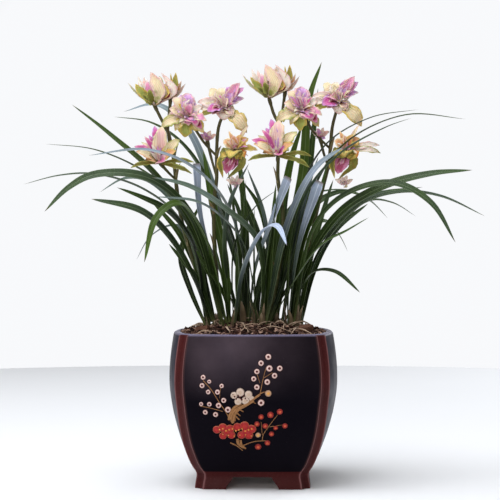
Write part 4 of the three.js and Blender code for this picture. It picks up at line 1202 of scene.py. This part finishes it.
OPEN_LEFT_MM = [
    (0, 4, 26, 10, "pink", "lilac", "blush"), (7, 2, 20, 8, "blush", "lilac", "white"),
    (-7, 2, 24, 6, "cream", "blush", "lilac"), (-14, 0, 21, 9, "yellow", "cream", "blush"),
    (-18, -4, 9, 8, "blush", "cream", "blush"), (-26, -6, -10, 9, "yellow", "cream", "lime"),
    (-12, -8, -14, 7, "peach", "cream", "yellow"), (-2, -6, -20, 10, "yellow", "lime", "yellow"),
    (11, -13, -9, 10, "crimson", "magenta", "blush"), (20, -9, -4, 8, "magenta", "pink", "cream"),
    (15, -11, -12, 7, "crimson", "crimson", "pink"), (6, -12, -4, 6, "crimson", "pink", "lilac"),
    (17, -5, -15, 8, "pink", "cream", "yellow"), (9, 8, 13, 7, "orange", "white", "white"),
    (16, -1, 12, 6, "peach", "white", "blush"), (-8, 12, 6, 9, "blush", "cream", "cream"),
    (8, 12, 2, 9, "blush", "cream", "cream"), (-3, -4, 17, 6, "crimson", "blush", "lilac"),
    (4, -6, 14, 6, "crimson", "pink", "blush"), (-12, -3, 14, 7, "orange", "yellow", "blush"),
    (-19, -2, 3, 6, "pink", "blush", "white"), (2, -11, -9, 7, "crimson", "pink", "cream"),
    (12, -2, 6, 7, "orange", "peach", "cream"),
]
OPEN_RIGHT_MM = [
    (-15, 4, 21, 8, "yellow", "cream", "cream"), (-4, 4, 22, 10, "yellow", "cream", "white"),
    (11, 0, 25, 7, "pink", "pink", "lilac"), (16, -1, 27, 7, "magenta", "pink", "blush"),
    (20, 1, 22, 6, "pink", "pink", "lilac"), (8, -3, 19, 7, "pink", "lilac", "blush"),
    (-20, -2, 8, 9, "crimson", "blush", "white"), (-17, -10, -3, 11, "crimson", "magenta", "lilac"),
    (-10, -9, 5, 7, "pink", "blush", "pink"), (0, -9, -12, 11, "orange", "white", "blush"),
    (9, -9, -8, 7, "orange", "blush", "cream"), (23, -6, -24, 11, "lime", "cream", "yellow"),
    (15, -4, -12, 7, "yellow", "cream", "cream"), (-27, -3, 7, 7, "orange", "white", "blush"),
    (-26, -5, 0, 7, "orange", "white", "cream"), (-12, -11, -6, 8, "crimson", "crimson", "blush"),
    (4, -8, 10, 7, "orange", "blush", "cream"), (3, 3, 17, 7, "peach", "blush", "white"),
    (20, 2, 12, 6, "pink", "lilac", "white"), (-26, 4, -7, 5, "olive", "lime", "yellow"),
    (-6, 12, 4, 9, "yellow", "cream", "cream"), (10, 12, -2, 9, "yellow", "cream", "cream"),
]
UPRIGHT_MM = [
    (-6, 6, 39, 6, "pink", "magenta", "lilac"), (2, 2, 37, 10, "peach", "blush", "cream"),
    (-11, 2, 29, 5, "pink", "magenta", "lilac"), (-15, -2, 27, 5, "magenta", "magenta", "blush"),
    (-19, 4, 22, 4, "lime", "cream", "pale_green"), (-25, -4, 17, 7, "magenta", "magenta", "pink"),
    (20, 0, 25, 8, "yellow", "cream", "lime"), (17, -8, 13, 8, "crimson", "peach", "yellow"),
    (6, -12, 1, 10, "crimson", "magenta", "blush"), (-23, -9, 12, 8, "olive", "cream", "peach"),
    (-14, -10, 3, 8, "olive", "peach", "olive"), (-29, -2, -4, 3.5, "olive", "olive", "lime"),
    (35, -2, 1, 3.5, "olive", "olive", "lime"), (33, -6, -11, 3.5, "olive", "olive", "lime"),
    (-8, 12, 14, 8, "olive", "blush", "cream"), (10, 12, 12, 9, "olive", "cream", "lime"),
]
HOODED_MM = [
    (-12, -9, -28, 5.5, "olive", "olive", "yellow", (-15, -12, -11)),
    (-9, -9, -29, 6, "olive", "olive", "olive", (8, -13, -14)),
    (-5, -17, -9, 15, "olive", "yellow", "olive"), (-15, -12, -9, 11, "olive", "yellow", "olive"),
    (8, -12, -11, 11, "olive", "yellow", "orange"), (2, -16, -10, 10, "orange", "yellow", "olive"),
    (-9, -7.5, -24, 12, "crimson", "rose", "pink"), (-3, -8, -20, 9, "crimson", "crimson", "pink"),
    (-12, -8, -17, 6, "crimson", "rose", "blush"), (-7, -9, -19, 4, "crimson", "pink", "blush"),
    (-14, -3, -22, 5, "yellow", "cream", "cream"), (5, -6, -19, 6, "olive", "lime", "olive"),
    (-12, -2, 10, 9, "peach", "peach", "cream"), (13, -2, 12, 9, "yellow", "peach", "yellow"),
    (-7, 2, 20, 3.5, "peach", "peach", "cream"), (13, 0, 26, 3.5, "peach", "cream", "blush"),
    (-2, -6, 15, 8, "peach", "peach", "blush"), (6, -6, 16, 7, "orange", "peach", "yellow"),
    (9, -8, 8, 6, "orange", "yellow", "yellow"), (22, 0, 1, 6, "lime", "yellow", "cream"),
    (3, 10, 6, 11, "olive", "yellow", "olive"),
]
HOODED_WIDE_MM = [
    *HOODED_MM, (33, -2, 5, 6, "yellow", "white", "blush"), (34, -4, -3, 6, "lime", "white", "lime"),
]
YOUNG_MM = [
    (-9, -3, 7, 4, "crimson", "lilac", "white"), (-4, -5, 10, 4.5, "magenta", "lilac", "blush"),
    (3, -4, 11, 4, "lilac", "white", "blush"), (9, -2, 7, 4, "pink", "blush", "white"),
    (-2, -8, 2, 6, "crimson", "magenta", "blush"), (5, 3, 5, 5, "olive", "blush", "cream"),
]
YOUNG_PALE_MM = [(x, y, z, width, "pink", "white", "blush") for x, y, z, width, *_ in YOUNG_MM]
# Open forms overlap, so their tepals are drawn fuller than the others.
FULL_FORMS = (OPEN_LEFT_MM, OPEN_RIGHT_MM, UPRIGHT_MM)
FULL, SLIM = 1.42, 1.12
FRILL_REACH, YOUNG_REACH = 13, 5
COLUMN_TIPS = ((0.5, -8, 2.5), (-1.5, -6, 4))
TEPAL_STEPS = 14
# Name, heart, form, and how many small frills crowd its throat.
FLOWERS_MM = [
    ("left_half_open", (-100, -10, 381), HALF_OPEN_MM, 5),
    ("left_open", (-66, -25, 368), OPEN_LEFT_MM, 26),
    ("left_top", (-29, -20, 377), OPEN_RIGHT_MM, 18),
    ("left_upright", (-92, -45, 321), UPRIGHT_MM, 12),
    ("left_hooded", (-17, -40, 334), HOODED_MM, 10),
    ("right_half_open", (16, -10, 388), HALF_OPEN_MM, 5),
    ("right_open", (49, -25, 374), OPEN_LEFT_MM, 26),
    ("right_top", (86, -20, 383), OPEN_RIGHT_MM, 18),
    ("right_upright", (24, -45, 328), UPRIGHT_MM, 12),
    ("right_hooded", (93, -40, 334), HOODED_WIDE_MM, 10),
    ("young_left", (-46, -14, 345), YOUNG_MM, 3),
    ("young_right", (68, -13, 348), YOUNG_MM, 3),
    ("young_low_left", (-18, -26, 299), YOUNG_PALE_MM, 2),
    ("young_low_right", (91, -26, 299), YOUNG_PALE_MM, 2),
]

tepal_tree = blade_tree(
    "tepal", [(0, 0.34), (0.2, 0.66), (0.42, 0.98), (0.58, 1.0), (0.8, 0.62), (0.93, 0.27), (1, 0.0)], 12,
    Fold=0.38, Thinness=0.09, Ruffle=1.1)
tepal_skin, tree, shader = new_finish("veined_tepal", 0.5, Subsurface_Weight=0.12, Subsurface_Scale=0.003,
                                      Specular_IOR_Level=0.3, Sheen_Weight=0.15)
foot_hue, body_hue, rim_hue = (read(tree, name, "Color") for name in ("foot_hue", "body_hue", "rim_hue"))
along, sideways = read(tree, "along"), read(tree, "sideways")
off_middle = maths(tree, "ABSOLUTE", sideways)
mottle = grain(tree, 190, 4)
blush_at = maths(tree, "ADD", along, ranged(tree, mottle, 0.3, 0.7, -0.16, 0.16))
coat = mixed(tree, ranged(tree, blush_at, 0.12, 0.42), foot_hue, body_hue)
rim_at = maths(tree, "ADD", off_middle, ranged(tree, mottle, 0.3, 0.7, -0.10, 0.10))
rim_at = maths(tree, "MAXIMUM", ranged(tree, rim_at, 0.24, 0.46), ranged(tree, along, 0.78, 0.98))
coat = mixed(tree, rim_at, coat, rim_hue)
ripple = maths(tree, "ADD", times(tree, sideways, 48), times(tree, grain(tree, 120), 4))
veins = ranged(tree, maths(tree, "SINE", ripple), 0.2, 1.0)
coat = mixed(tree, times(tree, veins, 0.42), coat, (0.62, 0.26, 0.24), "MULTIPLY")
spots = put(tree, "ShaderNodeTexVoronoi", {"Vector": own_place(tree), "Scale": 430.0}).outputs["Distance"]
spots = ranged(tree, spots, 0.2, 0.36, 1.0, 0.0)
throat = times(tree, spots, ranged(tree, along, 0.15, 0.6, 1.0, 0.0))
throat = times(tree, throat, read(tree, "speckle"))
coat = mixed(tree, throat, coat, (0.16, 0.008, 0.015))
covered(tree, shader, coat, maths(tree, "ADD", veins, mottle), 0.00025, 0.5,
        roughness=ranged(tree, mottle, 0.3, 0.7, 0.42, 0.6))


def tepal_line(heart, tip, width, hues, speckle, cupped, past=None):
    """One tepal's route and colours. It bows out of the heart, or past a point, to a rolled back tip."""
    tip = np.array(tip, float)
    outward = np.linalg.norm(tip)
    start = tip * 2.0 / outward
    bow = np.array([0, -outward * 0.10, outward * 0.05])
    if cupped:
        bow = np.array([tip[0] * 0.06, -outward * 0.08, -outward * 0.04])
    last = tip + np.array([0, outward * draw.uniform(-0.02, 0.10), -outward * draw.uniform(0, 0.05)])
    route = [start, tip * 0.33 + bow * 0.8, tip * 0.7 + bow, last]
    if past:
        route = [start, np.array(past) * 0.5 + (0, -2, 1), np.array(past), last]
    route = smooth_route(route, TEPAL_STEPS)
    upper = np.array([draw.uniform(-0.4, 0.4), -1.0, 0.35])
    if cupped:
        upper = np.array([tip[0] * 0.03, -1.0, 0.1])
    if tip[1] < -7:
        upper = np.array([draw.uniform(-0.2, 0.2), -0.9, 0.75])
    foot, body, rim = ((*HUES[hue], 1) for hue in hues)
    facts = {"width": width * MM, "speckle": speckle, "foot_hue": foot, "body_hue": body, "rim_hue": rim}
    return (route + np.array(heart)) * MM, across_route(route, upper), facts


blooms = []
for name, heart, form, frills in FLOWERS_MM:
    cupped = form is HALF_OPEN_MM
    lines = []
    for x, y, z, width, *hues in form:
        past = hues.pop() if isinstance(hues[-1], tuple) else None
        speckle = 1.0 if y < -7 else 0.25
        fuller = FULL if form in FULL_FORMS else SLIM
        lines.append(tepal_line(heart, (x, y, z), width * fuller, hues, speckle, cupped, past))
    reach = YOUNG_REACH if name.startswith("young") else FRILL_REACH
    for _ in range(frills):
        tip = (draw.uniform(-reach, reach), draw.uniform(-reach, -2), draw.uniform(-0.6, 1.2) * reach)
        hues = (draw.choice(("crimson", "peach", "orange", "pink")),
                draw.choice(("blush", "cream", "white", "pink", "lilac", "magenta")),
                draw.choice(("white", "cream", "lilac")))
        if cupped:
            tip = (tip[0] * 0.9 + 3, tip[1] * 0.4 - 2, 20 + abs(tip[2]))
            hues = ("olive", "cream", "blush")
        if form is UPRIGHT_MM:
            tip = (tip[0], tip[1] * 0.5, 6 + abs(tip[2]))
        lines.append(tepal_line(heart, tip, draw.uniform(2.2, 5.0), hues, 0.7, cupped))
    for tip in COLUMN_TIPS:
        lines.append(tepal_line(heart, tip, 3.2, ("orange", "white", "blush"), 0.4, False))
    blooms.append(blades("bloom_" + name, tepal_tree, tepal_skin, lines))
made_plain(blooms)
for piece, (name, *_) in zip(blooms, FLOWERS_MM):
    if not name.startswith("young"):
        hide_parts("flower_" + name)
    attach(piece, "root")
